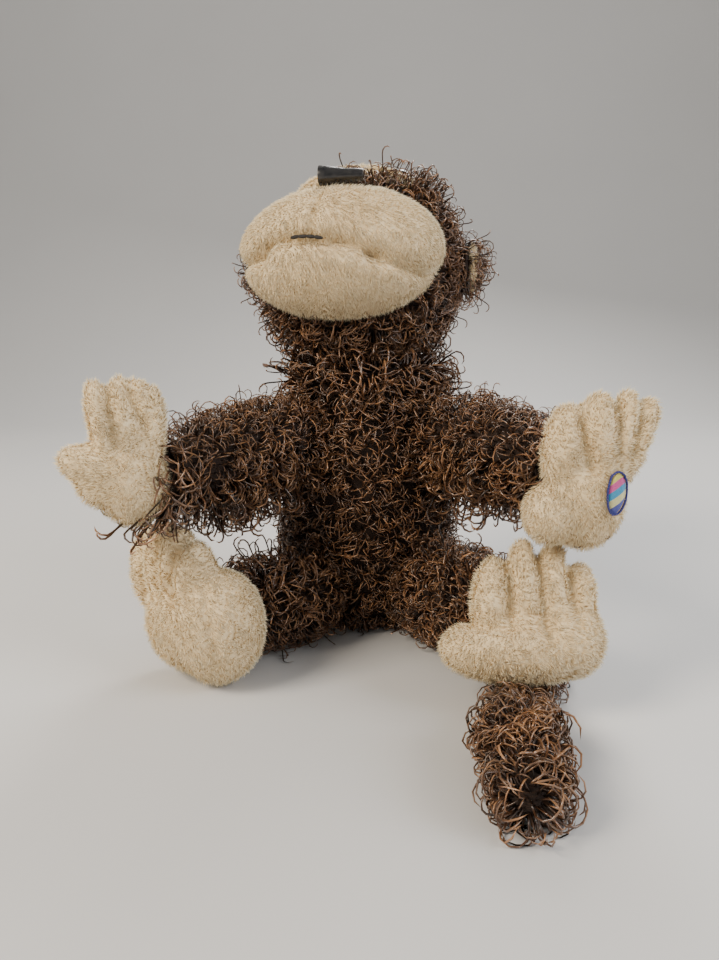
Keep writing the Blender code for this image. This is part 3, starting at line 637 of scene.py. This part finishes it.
mixed = two_tone(plush, spread.outputs[0], take.outputs["Deep_shade"], take.outputs["Pale"])
join(plush, give, Colour=mixed, Height=both.outputs[0])
cream_backing, tree, shader = blank_material("cream_plush_backing", 0.9, Sheen_Weight=0.3)
pile = node(tree, "Group", node_tree=plush)
# The deep colour is painted shade in the pile's hollows.
pile.inputs["Deep_shade"].default_value = (0.66, 0.50, 0.29, 1)
pile.inputs["Pale"].default_value = (0.88, 0.72, 0.46, 1)
bump = node(tree, "Bump", {"Height": pile.outputs["Height"], "Strength": 0.8, "Distance": 6e-4})
join(tree, shader, Base_Color=pile.outputs["Colour"], Normal=bump.outputs[0])
# The darker root colour is painted shade down in the pile.
cream_fibre = fibre_finish(
    "cream_plush_fibre", (0.76, 0.58, 0.34), (0.90, 0.74, 0.47), (0.96, 0.85, 0.60), 0.86, 1.05, 0.55, 0.8,
)
STRAIGHT_TUFTS = ((0.2, 0.05, 0.075), (0.3, -0.05, 0.065), (0.1, 0.0, 0.07))
TUFTS = [fibre([(1.0, bend, sway, 1.0)], thick) for bend, sway, thick in STRAIGHT_TUFTS]
TUFTS.append(fibre([(0.5, 0.3, 0.03, 0.8), (0.55, 0.5, -0.03, 0.5)], 0.06))


PILE_PER_MM2, PILE_LENGTH, PILE_LEAN = 1.62, 2.45, 1.5
MOST_TUFTS = 30000


def plushed(name, body, cover, seed, flow, buried=(), bare=()):
    """Plants the short pile, which lies along the nap that flow gives and gathers into soft clumps."""
    roots, normals = scattered(cover, PILE_PER_MM2, seed, buried, bare, reach=0.0012)
    draw = np.random.default_rng(seed + 1)
    nap = flow(roots)
    gather = np.stack([clouds(roots, 0.0030, 5.0 + 7 * axis) for axis in range(3)], 1)
    wander = np.stack([clouds(roots, 0.012, 40.0 + 7 * axis) for axis in range(3)], 1)
    nap = unit(nap + 0.5 * gather + 0.45 * wander + draw.normal(0, 0.16, nap.shape))
    nap = nap - normals * (nap * normals).sum(1)[:, None]
    along = unit(normals + nap * PILE_LEAN + draw.normal(0, 0.1, nap.shape))
    bend = unit(nap - along * (nap * along).sum(1)[:, None])
    uneven = draw.normal(1.0, 0.14, len(roots)) + 0.1 * clouds(roots, 0.01, 2.0)
    sizes = PILE_LENGTH * 1e-3 * np.clip(uneven, 0.5, 1.4)
    tones = np.clip(0.55 + 0.16 * clouds(roots, 0.004, 31.0) + draw.normal(0, 0.14, len(roots)), 0.01, 0.99)
    kind = draw.integers(len(TUFTS), size=len(roots))
    for piece in planted(name, TUFTS, kind, roots, along, bend, sizes, tones, MOST_TUFTS, cream_fibre):
        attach(piece, body)


muzzle.data.materials.append(cream_backing)
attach(muzzle, "head")
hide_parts("muzzle_upper", "chin_cover", "muzzle_stuffing")
head_solid, muzzle_solid, torso_solid = solid_of(head), solid_of(muzzle), solid_of(torso)


def ramp(values, low, high):
    """Rises from 0 to 1 between two values."""
    return np.clip((values - low) / (high - low), 0, 1)


def thick_ruff(roots, normals):
    """The coat grows longer round the neck."""
    return 1 + 0.55 * ramp(roots[:, 2], 0.105, 0.125), np.zeros_like(roots)


furred(
    "torso_fur", "torso", torso, 320, buried=[head_solid], groom=thick_ruff,
    wild=lambda roots: 0.03 + 0.3 * ramp(roots[:, 2], 0.112, 0.125),
)

# The mouth: a short bar of black thread laid along the smile seam in four overlapping stitches.
black_thread = thread_cloth("black_mouth_thread", (0.004, 0.003, 0.003), (0.03, 0.025, 0.022), 1500.0, 0.6, 1e-4)
work = bmesh.new()
BAR = [
    (-0.29, -0.77, -0.575), (-0.22, -0.785, -0.575), (-0.14, -0.79, -0.585), (-0.07, -0.79, -0.605),
    (0.0, -0.78, -0.625),
]
BAR_RADIUS = 0.0008
for start, end in zip(BAR, BAR[1:]):
    a, b = on_muzzle(start, 0.0001)[0], on_muzzle(end, 0.0001)[0]
    run = b - a
    lay = Matrix.Translation((a + b) / 2) @ run.to_track_quat("Z", "Y").to_matrix().to_4x4()
    ball(work, lay, (BAR_RADIUS, BAR_RADIUS, run.length * 0.72), 12, 10)
mouth = as_piece(work, "mouth_stitches")
mouth.data.materials.append(black_thread)
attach(mouth, "head")
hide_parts("mouth_thread")

# The nose: an offcut of black leatherette rolled into a tapered loop, wide and open at the toy's right end,
# with its edge folded over along the bottom and overcast down on to the muzzle in black thread.
leather, tree, shader = blank_material("black_leatherette", 0.3, Coat_Weight=0.25, Coat_Roughness=0.15)
place = node(tree, "TexCoord")
grain = node(tree, "TexVoronoi", {"Vector": place.outputs["Object"], "Scale": 1500.0}, feature="DISTANCE_TO_EDGE")
creases = node(tree, "TexNoise", {"Vector": place.outputs["Object"], "Scale": 350.0, "Detail": 5.0})
worn = node(tree, "MapRange", {"Value": creases.outputs[0], "From Min": 0.4, "From Max": 0.75})
tone = two_tone(tree, worn.outputs[0], (0.006, 0.006, 0.007, 1), (0.030, 0.028, 0.028, 1))
rough = node(tree, "MapRange", {"Value": creases.outputs[0], "To Min": 0.2, "To Max": 0.42})
bump = node(tree, "Bump", {"Height": grain.outputs[0], "Strength": 0.35, "Distance": 1e-4})
join(tree, shader, Base_Color=tone, Roughness=rough.outputs[0], Normal=bump.outputs[0])
cut_edge = thread_cloth("leatherette_cut_edge", (0.05, 0.032, 0.02), (0.16, 0.11, 0.075), 1200.0, 0.85, 1e-4)
nose_at, nose_out = on_muzzle((0.05, -0.84, 0.55), 0.0042)
nose_long = on_muzzle((0.25, -0.79, 0.56))[0] - on_muzzle((-0.15, -0.85, 0.50))[0]
nose_long = (nose_long - nose_out * nose_long.dot(nose_out)).normalized()
nose_axes = Matrix((nose_long, nose_out.cross(nose_long), nose_out)).transposed()
nose_place = Matrix.Translation(nose_at) @ nose_axes.to_4x4()
NOSE_LENGTH, WIDE_END, SLIM_END = 0.0195, 0.0046, 0.0023
work = bmesh.new()
ends = [work.verts.new((side * NOSE_LENGTH / 2, 0, 0)) for side in (-1, 1)]
bmesh.ops.subdivide_edges(work, edges=[work.edges.new(ends)], cuts=10)
for vert in work.verts:
    share = vert.co.x / NOSE_LENGTH + 0.5
    vert.co.z = WIDE_END * (1 - share) + SLIM_END * share + 0.0002 * sin(share * 9)
rolled = {"axis": (1, 0, 0), "angle": radians(430), "steps": 38}
bmesh.ops.spin(work, geom=work.verts[:] + work.edges[:], use_duplicate=False, **rolled)
work.verts.index_update()
for vert in work.verts:
    tucked = 1.0 - 0.34 * vert.index / len(work.verts)
    vert.co.y *= tucked * 1.1
    vert.co.z *= tucked * 0.9
bmesh.ops.transform(work, matrix=nose_place, verts=work.verts)
nose = as_piece(work, "nose_roll")
sheet_thickness = nose.modifiers.new("sheet", "SOLIDIFY")
sheet_thickness.thickness, sheet_thickness.offset, sheet_thickness.material_offset_rim = 0.0007, 0.0, 1
soft_edge = nose.modifiers.new("soft_edge", "BEVEL")
soft_edge.width, soft_edge.segments = 0.00014, 2
soft_edge.limit_method, soft_edge.angle_limit = "ANGLE", radians(50)
nose.data.materials.append(leather)
nose.data.materials.append(cut_edge)
settle(nose)
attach(nose, "head")
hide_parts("nose")
work = bmesh.new()
STITCH_ROWS, STITCH_SIZE = 9, Matrix.Diagonal((0.00035, 0.0010, 0.0008, 1))
for index in range(STITCH_ROWS):
    share = (index + 0.5) / STITCH_ROWS
    wide = WIDE_END * (1 - share) + SLIM_END * share
    for edge_side in (-1, 1):
        at = Vector((NOSE_LENGTH * (share - 0.5), edge_side * wide * 0.8, -wide * 0.75))
        lay = Matrix.Translation(at) @ Matrix.Rotation(radians(24), 4, "Z") @ STITCH_SIZE
        bmesh.ops.create_uvsphere(work, u_segments=8, v_segments=6, radius=1.0, matrix=nose_place @ lay)
stitches = as_piece(work, "nose_stitches")
stitches.data.materials.append(black_thread)
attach(stitches, "head")


def muzzle_nap(roots):
    """The pile runs out and down from the middle of the lip."""
    lip = np.array(on_muzzle((-0.1, -0.9, 0.1))[0])
    return unit(roots - lip) * 0.8 + np.array([0, 0, -0.7])


under_nose = [nose_place @ Vector((side * NOSE_LENGTH / 2, 0, -0.004)) for side in (-1, 1)]
smile_line, lip_line, bar_line = ([on_muzzle(way)[0] for way in seam] for seam in (SMILE, LIP, BAR))
plushed(
    "muzzle_pile", "head", muzzle, 210, muzzle_nap, buried=[head_solid],
    bare=[(under_nose, 0.0038), (smile_line, 0.0007), (lip_line, 0.0005), (bar_line, 0.0012)],
)

# The mask: a patch of the cream plush set into the top of the head, round the eyes.
work = bmesh.new()
mask_centre = HEAD + (up_way + front_way) * 0.65 * HEAD_SIZE[1] - left_way * 0.006
ball(work, Matrix.Translation(mask_centre) @ head_turn.to_4x4(), (0.0355, 0.0216, 0.0216), 40, 28)
skin = Matrix.Translation(HEAD) @ Matrix.Diagonal((*(HEAD_SIZE + Vector((0.0005, 0.0005, 0.0005))), 1))
for vert in work.verts:
    local = skin.inverted() @ vert.co
    if local.length > 1.0:
        vert.co = skin @ local.normalized()
mask = as_piece(work, "face_mask_patch")
filled(mask, 0.0016, 0.0008)
mask.data.materials.append(cream_backing)
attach(mask, "head")
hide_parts("face_mask")
mask_solid = solid_of(mask)


def pulled_out(roots):
    """How likely a lock is to be pulled out straight: mostly at the head's upper left and lower right."""
    left_top = ramp(roots[:, 2], 0.19, 0.21) * ramp(roots[:, 0], 0.005, 0.02)
    right_side = ramp(-roots[:, 0], 0.028, 0.038) * ramp(-roots[:, 2], -0.185, -0.17)
    return 0.06 + 0.55 * left_top + 0.5 * right_side


def swept_back(roots, normals):
    """Beside the mask on the right the coat is short and lies back; under the jaw it hangs."""
    back = ramp(-roots[:, 0], 0.012, 0.020) * ramp(roots[:, 2], 0.180, 0.190)
    return 1 + 0.2 * ramp(-roots[:, 2], -0.165, -0.15) - 0.4 * back, back[:, None] * np.array([0, 1.0, -0.6])


furred(
    "head_fur", "head", head, 310, buried=[muzzle_solid, torso_solid, mask_solid],
    wild=pulled_out, groom=swept_back,
)

# The eyes: glossy black domes on short shanks, pushed through the mask and locked by a washer inside.
glossy, tree, shader = blank_material("black_eye_plastic", 0.08, Coat_Weight=0.6, Coat_Roughness=0.03)
place = node(tree, "TexCoord")
dust = node(tree, "TexNoise", {"Vector": place.outputs["Object"], "Scale": 900.0, "Detail": 6.0})
settled = {"From Min": 0.45, "From Max": 0.8, "To Min": 0.05, "To Max": 0.22}
rough = node(tree, "MapRange", {"Value": dust.outputs[0], **settled})
tone = two_tone(tree, dust.outputs[0], (0.006, 0.004, 0.003, 1), (0.014, 0.009, 0.007, 1))
join(tree, shader, Roughness=rough.outputs[0], Base_Color=tone)
EYE_SIZE, SHANK_RADIUS, SHANK_LENGTH = (0.0047, 0.0047, 0.0034), 0.0014, 0.010


def on_head(way, lift):
    """A point over the head's surface in a direction from its middle, and the place there that faces out."""
    reach = 1 / sqrt(sum((way[axis] / HEAD_SIZE[axis]) ** 2 for axis in range(3)))
    at = HEAD + way * (reach + lift)
    return at, Matrix.Translation(at) @ way.to_track_quat("Z", "Y").to_matrix().to_4x4()


eyes = []
for side, sign in (("right", -1), ("left", 1)):
    way = (up_way * 0.765 + front_way * 0.516 + left_way * (0.38 * sign)).normalized()
    at, turn = on_head(way, 0.0022)
    eyes.append(at)
    work = bmesh.new()
    ball(work, turn, EYE_SIZE)
    bmesh.ops.create_cone(
        work, cap_ends=True, segments=24, radius1=SHANK_RADIUS, radius2=SHANK_RADIUS, depth=SHANK_LENGTH,
        matrix=turn @ Matrix.Translation((0, 0, -0.006)),
    )
    eye = as_piece(work, f"eye_dome_{side}")
    eye.data.materials.append(glossy)
    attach(eye, "head")
    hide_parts(f"eye_{side}")
EYE_GAP = 0.0052
plushed(
    "mask_pile", "head", mask, 230, lambda roots: unit(roots - np.array(mask_centre)) + 0.3 * np.array(up_way),
    buried=[head_solid, muzzle_solid], bare=[([at, at + Vector((0, 0, 1e-4))], EYE_GAP) for at in eyes],
)

# The ears: a curly back and a plush lining, stuffed thin, cupped in the middle and sewn flat against the
# sides of the head. Each layer: half its thickness, its rise off the head, and half its width.
EAR_LAYERS = (("back", 0.0026, -0.0018, 0.0142), ("lining", 0.0022, 0.0016, 0.0128))
CUP_DEPTH, CUP_RADIUS = 0.0016, 0.008
for side, sign in (("right", -1), ("left", 1)):
    way = (left_way * sign - front_way * 0.12 + up_way * 0.10).normalized()
    middle, turn = on_head(way, 0.0040)
    flat = turn.inverted()
    for label, thick, rise, wide in EAR_LAYERS:
        work = bmesh.new()
        ball(work, turn @ Matrix.Translation((0, 0, rise)), (wide, wide * 0.9, thick))
        for vert in work.verts:
            local = flat @ vert.co
            local.z -= CUP_DEPTH * max(0.0, 1 - (local.x**2 + local.y**2) / CUP_RADIUS**2)
            vert.co = turn @ local
        ear = as_piece(work, f"ear_{label}_{side}_padding")
        filled(ear, 0.0014, 0.0008)
        ear.data.materials.append(fur_backing if label == "back" else cream_backing)
        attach(ear, "head")
        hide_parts(f"ear_{label}_{side}")
        if label == "back":
            furred(
                f"ear_fur_{side}", "head", ear, 340 + sign, buried=[head_solid], per_mm2=0.5,
                wild=lambda roots: np.full(len(roots), 0.75 if sign < 0 else 0.2),
            )
        else:
            plushed(
                f"ear_pile_{side}", "head", ear, 240 + sign, lambda roots: unit(roots - np.array(middle)),
                buried=[head_solid],
            )

# The arms: curly tubes, stuffed firm, gathered at the shoulder and run into the mittens at the wrist.
for side in ("right", "left"):
    arm = as_piece(filling_copy(f"arm_{side}_stuffing", "arm"), f"arm_{side}_padding")
    filled(arm, 0.0026, 0.0027, joints=[(SHOULDERS[side], 0.018)])
    arm.data.materials.append(fur_backing)
    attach(arm, f"arm_{side}")
    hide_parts(f"arm_{side}_cover", f"arm_{side}_stuffing")

# The hands and feet: mittens of the cream plush, stuffed so that each finger and toe swells between creases.
# Each lobe: across, up, deep, half width, half thickness, half height in millimetres, and its lean in degrees.
def turned(across, deep, up):
    return Matrix((Vector(across).normalized(), Vector(deep).normalized(), Vector(up).normalized())).transposed()


PAWS = {
    "hand_left": (
        (80, -101, 90.5), turned((1, 0, 0), (0, 1, 0), (0, 0, 1)),
        (
            (0.5, -6.0, 0.0, 15.5, 12.5, 18.5, 0), (-12.0, -10.0, -1.0, 11.0, 12.0, 12.5, 0),
            (-8.9, 14.5, 0.0, 7.6, 10.5, 17.5, 6), (3.4, 20.0, 0.0, 7.4, 10.5, 16.5, 4),
            (12.4, 21.0, 0.0, 6.0, 10.0, 16.5, 9), (18.0, 19.5, 0.0, 5.6, 9.3, 16.0, 21),
            (4.5, 15.0, 0.0, 18.5, 8.6, 17.5, 14),
        ),
    ),
    "hand_right": (
        (-96, -92, 92), turned((0.916, 0.4, 0), (-0.4, 0.916, 0), (0, 0, 1)),
        (
            (4.0, -2.0, 0.0, 14.5, 12.0, 17.8, 0), (-10.0, 5.0, 0.0, 14.0, 9.5, 8.2, 22),
            (-5.5, 0.5, 0.0, 12.0, 9.5, 12.5, 38), (-6.0, 22.0, 0.0, 5.6, 9.5, 17.0, -8),
            (1.0, 22.5, 0.0, 5.6, 9.5, 17.5, 0), (7.4, 22.0, 0.0, 5.6, 9.5, 17.0, 2),
            (12.6, 19.5, 0.0, 5.4, 9.5, 16.5, 4), (4.0, 19.0, 0.0, 12.0, 8.2, 17.5, 0),
        ),
    ),
    "foot_left": (
        (60, -101, 28), turned((1, 0, 0), (0, 0.970, -0.2425), (0, 0.2425, 0.970)),
        (
            (-1.0, -2.5, 0.0, 32.5, 18.5, 13.8, 0), (17.5, 1.5, 0.0, 14.5, 17.5, 16.0, 0),
            (-12.6, 16.0, 0.0, 7.6, 10.5, 18.0, 7), (0.1, 21.5, 0.0, 7.2, 10.5, 20.0, 1),
            (12.0, 21.0, 0.0, 7.0, 10.5, 19.5, 2), (21.8, 15.5, 0.0, 6.8, 11.0, 16.5, 6),
            (4.5, 16.0, 0.0, 22.0, 8.8, 19.5, 0),
        ),
    ),
    "foot_right": (
        (-80, -68, 25.5), turned((0.72, -0.694, 0), (0.694, 0.72, 0), (0, 0, 1)),
        (
            (5.5, -1.5, 0.0, 24.0, 18.5, 21.5, 0), (19.5, 0.0, 3.0, 20.5, 20.0, 25.0, 0),
            (15.0, 20.0, -3.5, 7.4, 10.5, 18.5, 2), (4.0, 23.0, -3.5, 7.2, 10.5, 19.5, -1),
            (-8.0, 22.5, -3.5, 8.0, 10.5, 20.0, -5), (-18.5, 16.5, -3.5, 8.8, 11.0, 20.0, -10),
            (0.0, 17.0, -3.5, 20.0, 8.6, 19.0, 0),
        ),
    ),
}
# The stitched lines that part the fingers and toes, in millimetres across and up each palm.
CREASES = {
    "hand_left": (((-3.3, 25.0), (0.8, 7.4)), ((9.4, 33.0), (9.7, 12.8)), ((17.6, 32.0), (14.8, 12.8))),
    "hand_right": (((3.6, 32.0), (8.8, 20.1)), ((-3.6, 32.0), (-3.0, 13.7))),
    "foot_left": (
        ((-6.2, 33.0), (-5.3, 7.0)), ((5.8, 35.0), (7.4, 3.6)), ((17.0, 32.0), (18.6, 8.0)),
        ((-22.0, 7.5), (-9.0, 6.8)),
    ),
    "foot_right": (((9.5, 33.0), (9.5, 12.0)), ((-2.0, 34.0), (-2.0, 12.0)), ((-13.2, 31.0), (-13.2, 8.0))),
}
CREASE_DEPTH, CREASE_WIDTH = 0.0026, 0.0017
SOLE_SEAM = [(-66.0, -91.1, 45.6), (-63.9, -97.1, 37.5), (-62.7, -99.5, 27.9), (-62.6, -98.3, 16.7)]
SOLE_SEAM = [Vector(point) * 1e-3 for point in SOLE_SEAM]
SEAM_DEPTH, SEAM_WIDTH = 0.0020, 0.0018


def stitched_down(name, origin, turn):
    """Gives the seams of one hand or foot: its creases go through it from front to back, and the right foot
    also has a seam up the middle of its sole."""

    def seams(work):
        points = np.array([vert.co for vert in work.verts])
        flat = (points - np.array(origin) * 1e-3) @ np.array([turn.col[0], turn.col[2]]).T
        lines = [[np.array(end) * 1e-3 for end in crease] for crease in CREASES[name]]
        away = np.min([distance_to(line, flat) for line in lines], axis=0)
        pull = CREASE_DEPTH * np.exp(-((away / CREASE_WIDTH) ** 2))
        if name == "foot_right":
            middle = distance_to([np.array(point) for point in SOLE_SEAM], points)
            pull += SEAM_DEPTH * np.exp(-((middle / SEAM_WIDTH) ** 2))
            away = np.minimum(away, middle)
        work.normal_update()
        for vert, much in zip(work.verts, pull):
            vert.co -= vert.normal * much
        return (away < 0.0013).astype(float)

    return seams


PAW_SWELL = 0.9  # each lobe starts this much smaller, in millimetres
low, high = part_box("palm_embroidery")
patch_line = [(low + high) / 2 + Vector((0, 0.001, rise)) for rise in (-0.0045, 0.0045)]
BARE_ON_PAWS = {"hand_left": [(patch_line, 0.0040)], "foot_right": [(SOLE_SEAM, 0.0007)]}
PAW_NAP = np.array([0, -0.2, -0.35])
paw_solids = {}
for number, (name, (origin, turn, lobes)) in enumerate(PAWS.items()):
    work = bmesh.new()
    for across, up, deep, *half_widths, lean in lobes:
        centre = Vector(origin) + turn @ Vector((across, deep, up))
        lobe = Matrix.Translation(centre * 1e-3) @ (turn @ Matrix.Rotation(radians(lean), 3, "Y")).to_4x4()
        ball(work, lobe, [(half - PAW_SWELL) * 1e-3 for half in half_widths])
    paw = as_piece(work, f"{name}_padding")
    filled(paw, 0.0016, 0.0016, valley=1.6e-4, seams=stitched_down(name, origin, turn))
    paw.data.materials.append(cream_backing)
    fill = "beans" if name.startswith("foot") else "stuffing"
    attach(paw, name)
    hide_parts(f"{name}_cover", f"{name}_{fill}")
    paw_solids[name] = solid_of(paw)
    middle = np.array(origin) * 1e-3
    plushed(
        f"{name}_pile", name, paw, 250 + 10 * number, lambda roots: unit(roots - middle) * 0.8 + PAW_NAP,
        bare=BARE_ON_PAWS.get(name, ()),
    )

WRISTS = {"right": (-0.084, -0.078, 0.088), "left": (0.075, -0.086, 0.091)}
for number, side in enumerate(("right", "left")):
    arm = bpy.data.objects[f"arm_{side}_padding"]
    start, wrist = np.array(SHOULDERS[side]), np.array(WRISTS[side])

    def long_sleeve(roots, normals):
        """The coat hangs long under the arm, and runs over the wrist on to the hand."""
        run = wrist - start
        share = ((roots - start) @ run) / (run @ run)
        under = ramp(-normals[:, 2], 0.0, 0.6) * ramp(-share, -0.9, -0.5)
        cuff = ramp(share, 0.8, 1.0)
        over_wrist = unit((run + np.array([0, -0.02, 0]))[None])
        combed = cuff[:, None] * over_wrist * 1.3 + under[:, None] * np.array([0, 0, -0.5])
        return 1 + 0.75 * under + 0.45 * cuff, combed

    furred(
        f"arm_{side}_fur", f"arm_{side}", arm, 360 + 10 * number, buried=[torso_solid, paw_solids[f"hand_{side}"]],
        groom=long_sleeve, wild=lambda roots: 0.08 + 0.5 * ramp(-roots[:, 2], -0.086, -0.078),
    )

# The legs: short curly tubes that splay from the seat, gathered at the hip and run into the feet.
for number, side in enumerate(("right", "left")):
    leg = as_piece(filling_copy(f"leg_{side}_stuffing", "leg"), f"leg_{side}_padding")
    filled(leg, 0.0026, 0.0027, joints=[(HIPS[side], 0.018)])
    leg.data.materials.append(fur_backing)
    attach(leg, f"leg_{side}")
    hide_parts(f"leg_{side}_cover", f"leg_{side}_stuffing")
    furred(
        f"leg_{side}_fur", f"leg_{side}", leg, 380 + 10 * number, buried=[torso_solid, paw_solids[f"foot_{side}"]],
        groom=lambda roots, normals: (1 + 0.3 * ramp(normals[:, 2], 0.2, 0.7), np.zeros_like(roots)),
        wild=lambda roots: 0.05 + 0.45 * ramp(roots[:, 2], 0.032, 0.038),
    )

# The tail: a long soft tube of the curly cloth, lying on the table and pressed flat under the left foot,
# and its fatter tip, which bends where the filling stops short.
for number, (name, body, dense) in enumerate((("tail", "tail", 0.33), ("tail_tip", "tail_tip", 0.46))):
    tail = as_piece(filling_copy(f"{name}_stuffing", name), f"{name}_padding")
    filled(tail, 0.0018, 0.0021)
    tail.data.materials.append(fur_backing)
    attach(tail, body)
    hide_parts(f"{name}_cover", f"{name}_stuffing")
    furred(
        f"{name}_fur", body, tail, 400 + 10 * number, buried=[torso_solid, paw_solids["foot_left"]],
        per_mm2=dense, length=1.3,
    )

# The patch on the left palm: an oval of satin stitch in slanting bands of colour, with a corded blue edge.
BANDS = ((0.90, 0.80, 0.20), (0.85, 0.12, 0.42), (0.05, 0.42, 0.75), (0.92, 0.88, 0.45), (0.10, 0.12, 0.50))
low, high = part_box("palm_embroidery")
patch_at = (low + high) / 2
palm = paw_solids["hand_left"]


def on_palm(across, up, lift):
    """The palm's surface in front of a point of the patch."""
    start = patch_at + Vector((across, -0.03, up))
    at, slope, _, _ = palm.ray_cast(start, Vector((0, 1, 0)))
    if at is None:
        at, slope, _, _ = palm.find_nearest(patch_at + Vector((across, 0, up)))
    return at + slope * lift, slope


def thread_run(work, points, thick):
    """A closed soft thread along a short run of points."""
    run = points[-1] - points[0]
    turn = run.to_track_quat("Z", "Y").to_matrix().to_4x4()
    place = Matrix.Translation(points[0]) @ turn
    bmesh.ops.create_circle(work, cap_ends=True, segments=6, radius=thick, matrix=place)
    work.faces.ensure_lookup_table()
    end = [work.faces[-1]]
    for here, after in zip(points, points[1:]):
        end, verts = drawn_on(work, end)
        bmesh.ops.translate(work, vec=after - here, verts=verts)


ROWS, SLANT, PATCH_LIFT, STITCH_RADIUS = 30, 0.0018, 0.0019, 0.00028
for index, colour in enumerate(BANDS):
    work = bmesh.new()
    for row in range(ROWS):
        if row * len(BANDS) // ROWS == index:
            up = 0.0062 * (1 - 2 * row / (ROWS - 1))
            half = 0.0036 * sqrt(max(0.06, 1 - (up / 0.0070) ** 2))
            stitch = [
                on_palm(half * share, up + SLANT * share, PATCH_LIFT - 0.0004 * share**2)[0]
                for share in (-1, -0.5, 0, 0.5, 1)
            ]
            thread_run(work, stitch, STITCH_RADIUS)
    band = as_piece(work, f"palm_stitches_{index + 1}")
    shadow = tuple(part * 0.6 for part in colour)
    shine = thread_cloth(f"satin_thread_{index + 1}", shadow, colour, 2400.0, 0.35, 5e-5, Sheen_Weight=0.2)
    band.data.materials.append(shine)
    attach(band, "hand_left")
    if index == 0:
        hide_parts("palm_embroidery")
work = bmesh.new()
EDGE_RADIUS, EDGE_STITCHES = 0.00042, 48
ring = []
for step in range(EDGE_STITCHES):
    across, up = cos(pi * step / 24), sin(pi * step / 24)
    ring.append(on_palm(0.0041 * across, 0.0074 * up + SLANT * across, PATCH_LIFT)[0])
for here, after in zip(ring, ring[1:] + ring[:1]):
    thread_run(work, [here, after], EDGE_RADIUS)
border = as_piece(work, "palm_stitch_border")
blue = thread_cloth("blue_border_thread", (0.01, 0.012, 0.10), (0.03, 0.04, 0.34), 2000.0, 0.4, 5e-5)
border.data.materials.append(blue)
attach(border, "hand_left")

# The care label: a blank white satin tab, folded double and caught in the back seam by one edge.
low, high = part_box("care_label")
work = bmesh.new()
bmesh.ops.create_grid(work, x_segments=24, y_segments=6, size=0.5)
for vert in work.verts:
    along, level = vert.co.x + 0.5, vert.co.y + 0.5
    out = sin(pi * along) ** 0.6 if 0 < along < 1 else 0.0
    vert.co = Vector((
        (low.x + high.x) / 2 + 0.0022 * sin(out * 2.6) * (0.4 + out) + 0.0006 * cos(pi * along),
        low.y + (high.y - low.y) * out,
        low.z + (high.z - low.z) * level - 0.0025 * out**2,
    ))
label = as_piece(work, "care_label_tab")
tab = label.modifiers.new("ribbon", "SOLIDIFY")
tab.thickness, tab.offset = 0.00022, 0.0
settle(label)
satin = thread_cloth(
    "white_label_satin", (0.62, 0.61, 0.58), (0.86, 0.86, 0.83), 2200.0, 0.4, 4e-5, Sheen_Weight=0.15,
)
label.data.materials.append(satin)
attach(label, "torso")
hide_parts("care_label")

# Hidden pieces: lining dishes in the soft joints, the bean pouch, and the eye washers.
lining_cloth = thread_cloth("brown_lining_cloth", (0.07, 0.035, 0.02), (0.18, 0.10, 0.06), 1300.0, 0.9, 1e-4)
pouch_cloth = thread_cloth("white_pouch_cloth", (0.55, 0.54, 0.50), (0.82, 0.81, 0.77), 1100.0, 0.9, 1e-4)
washer, tree, shader = blank_material("white_washer_plastic", 0.4)
place = node(tree, "TexCoord")
swirls = node(tree, "TexNoise", {"Vector": place.outputs["Object"], "Scale": 500.0, "Detail": 4.0})
tone = two_tone(tree, swirls.outputs[0], (0.70, 0.70, 0.67, 1), (0.84, 0.84, 0.82, 1))
rough = node(tree, "MapRange", {"Value": swirls.outputs[0], "To Min": 0.3, "To Max": 0.5})
join(tree, shader, Base_Color=tone, Roughness=rough.outputs[0])
hidden_finishes = {"_lining": lining_cloth, "seat_bean_pouch": pouch_cloth, "eye_washer": washer}
for name, piece in frame["nodes"].items():
    for word, finish in hidden_finishes.items():
        if word in name and not name.startswith("ear_"):
            piece.data.materials.clear()
            piece.data.materials.append(finish)

bpy.context.view_layer.update()
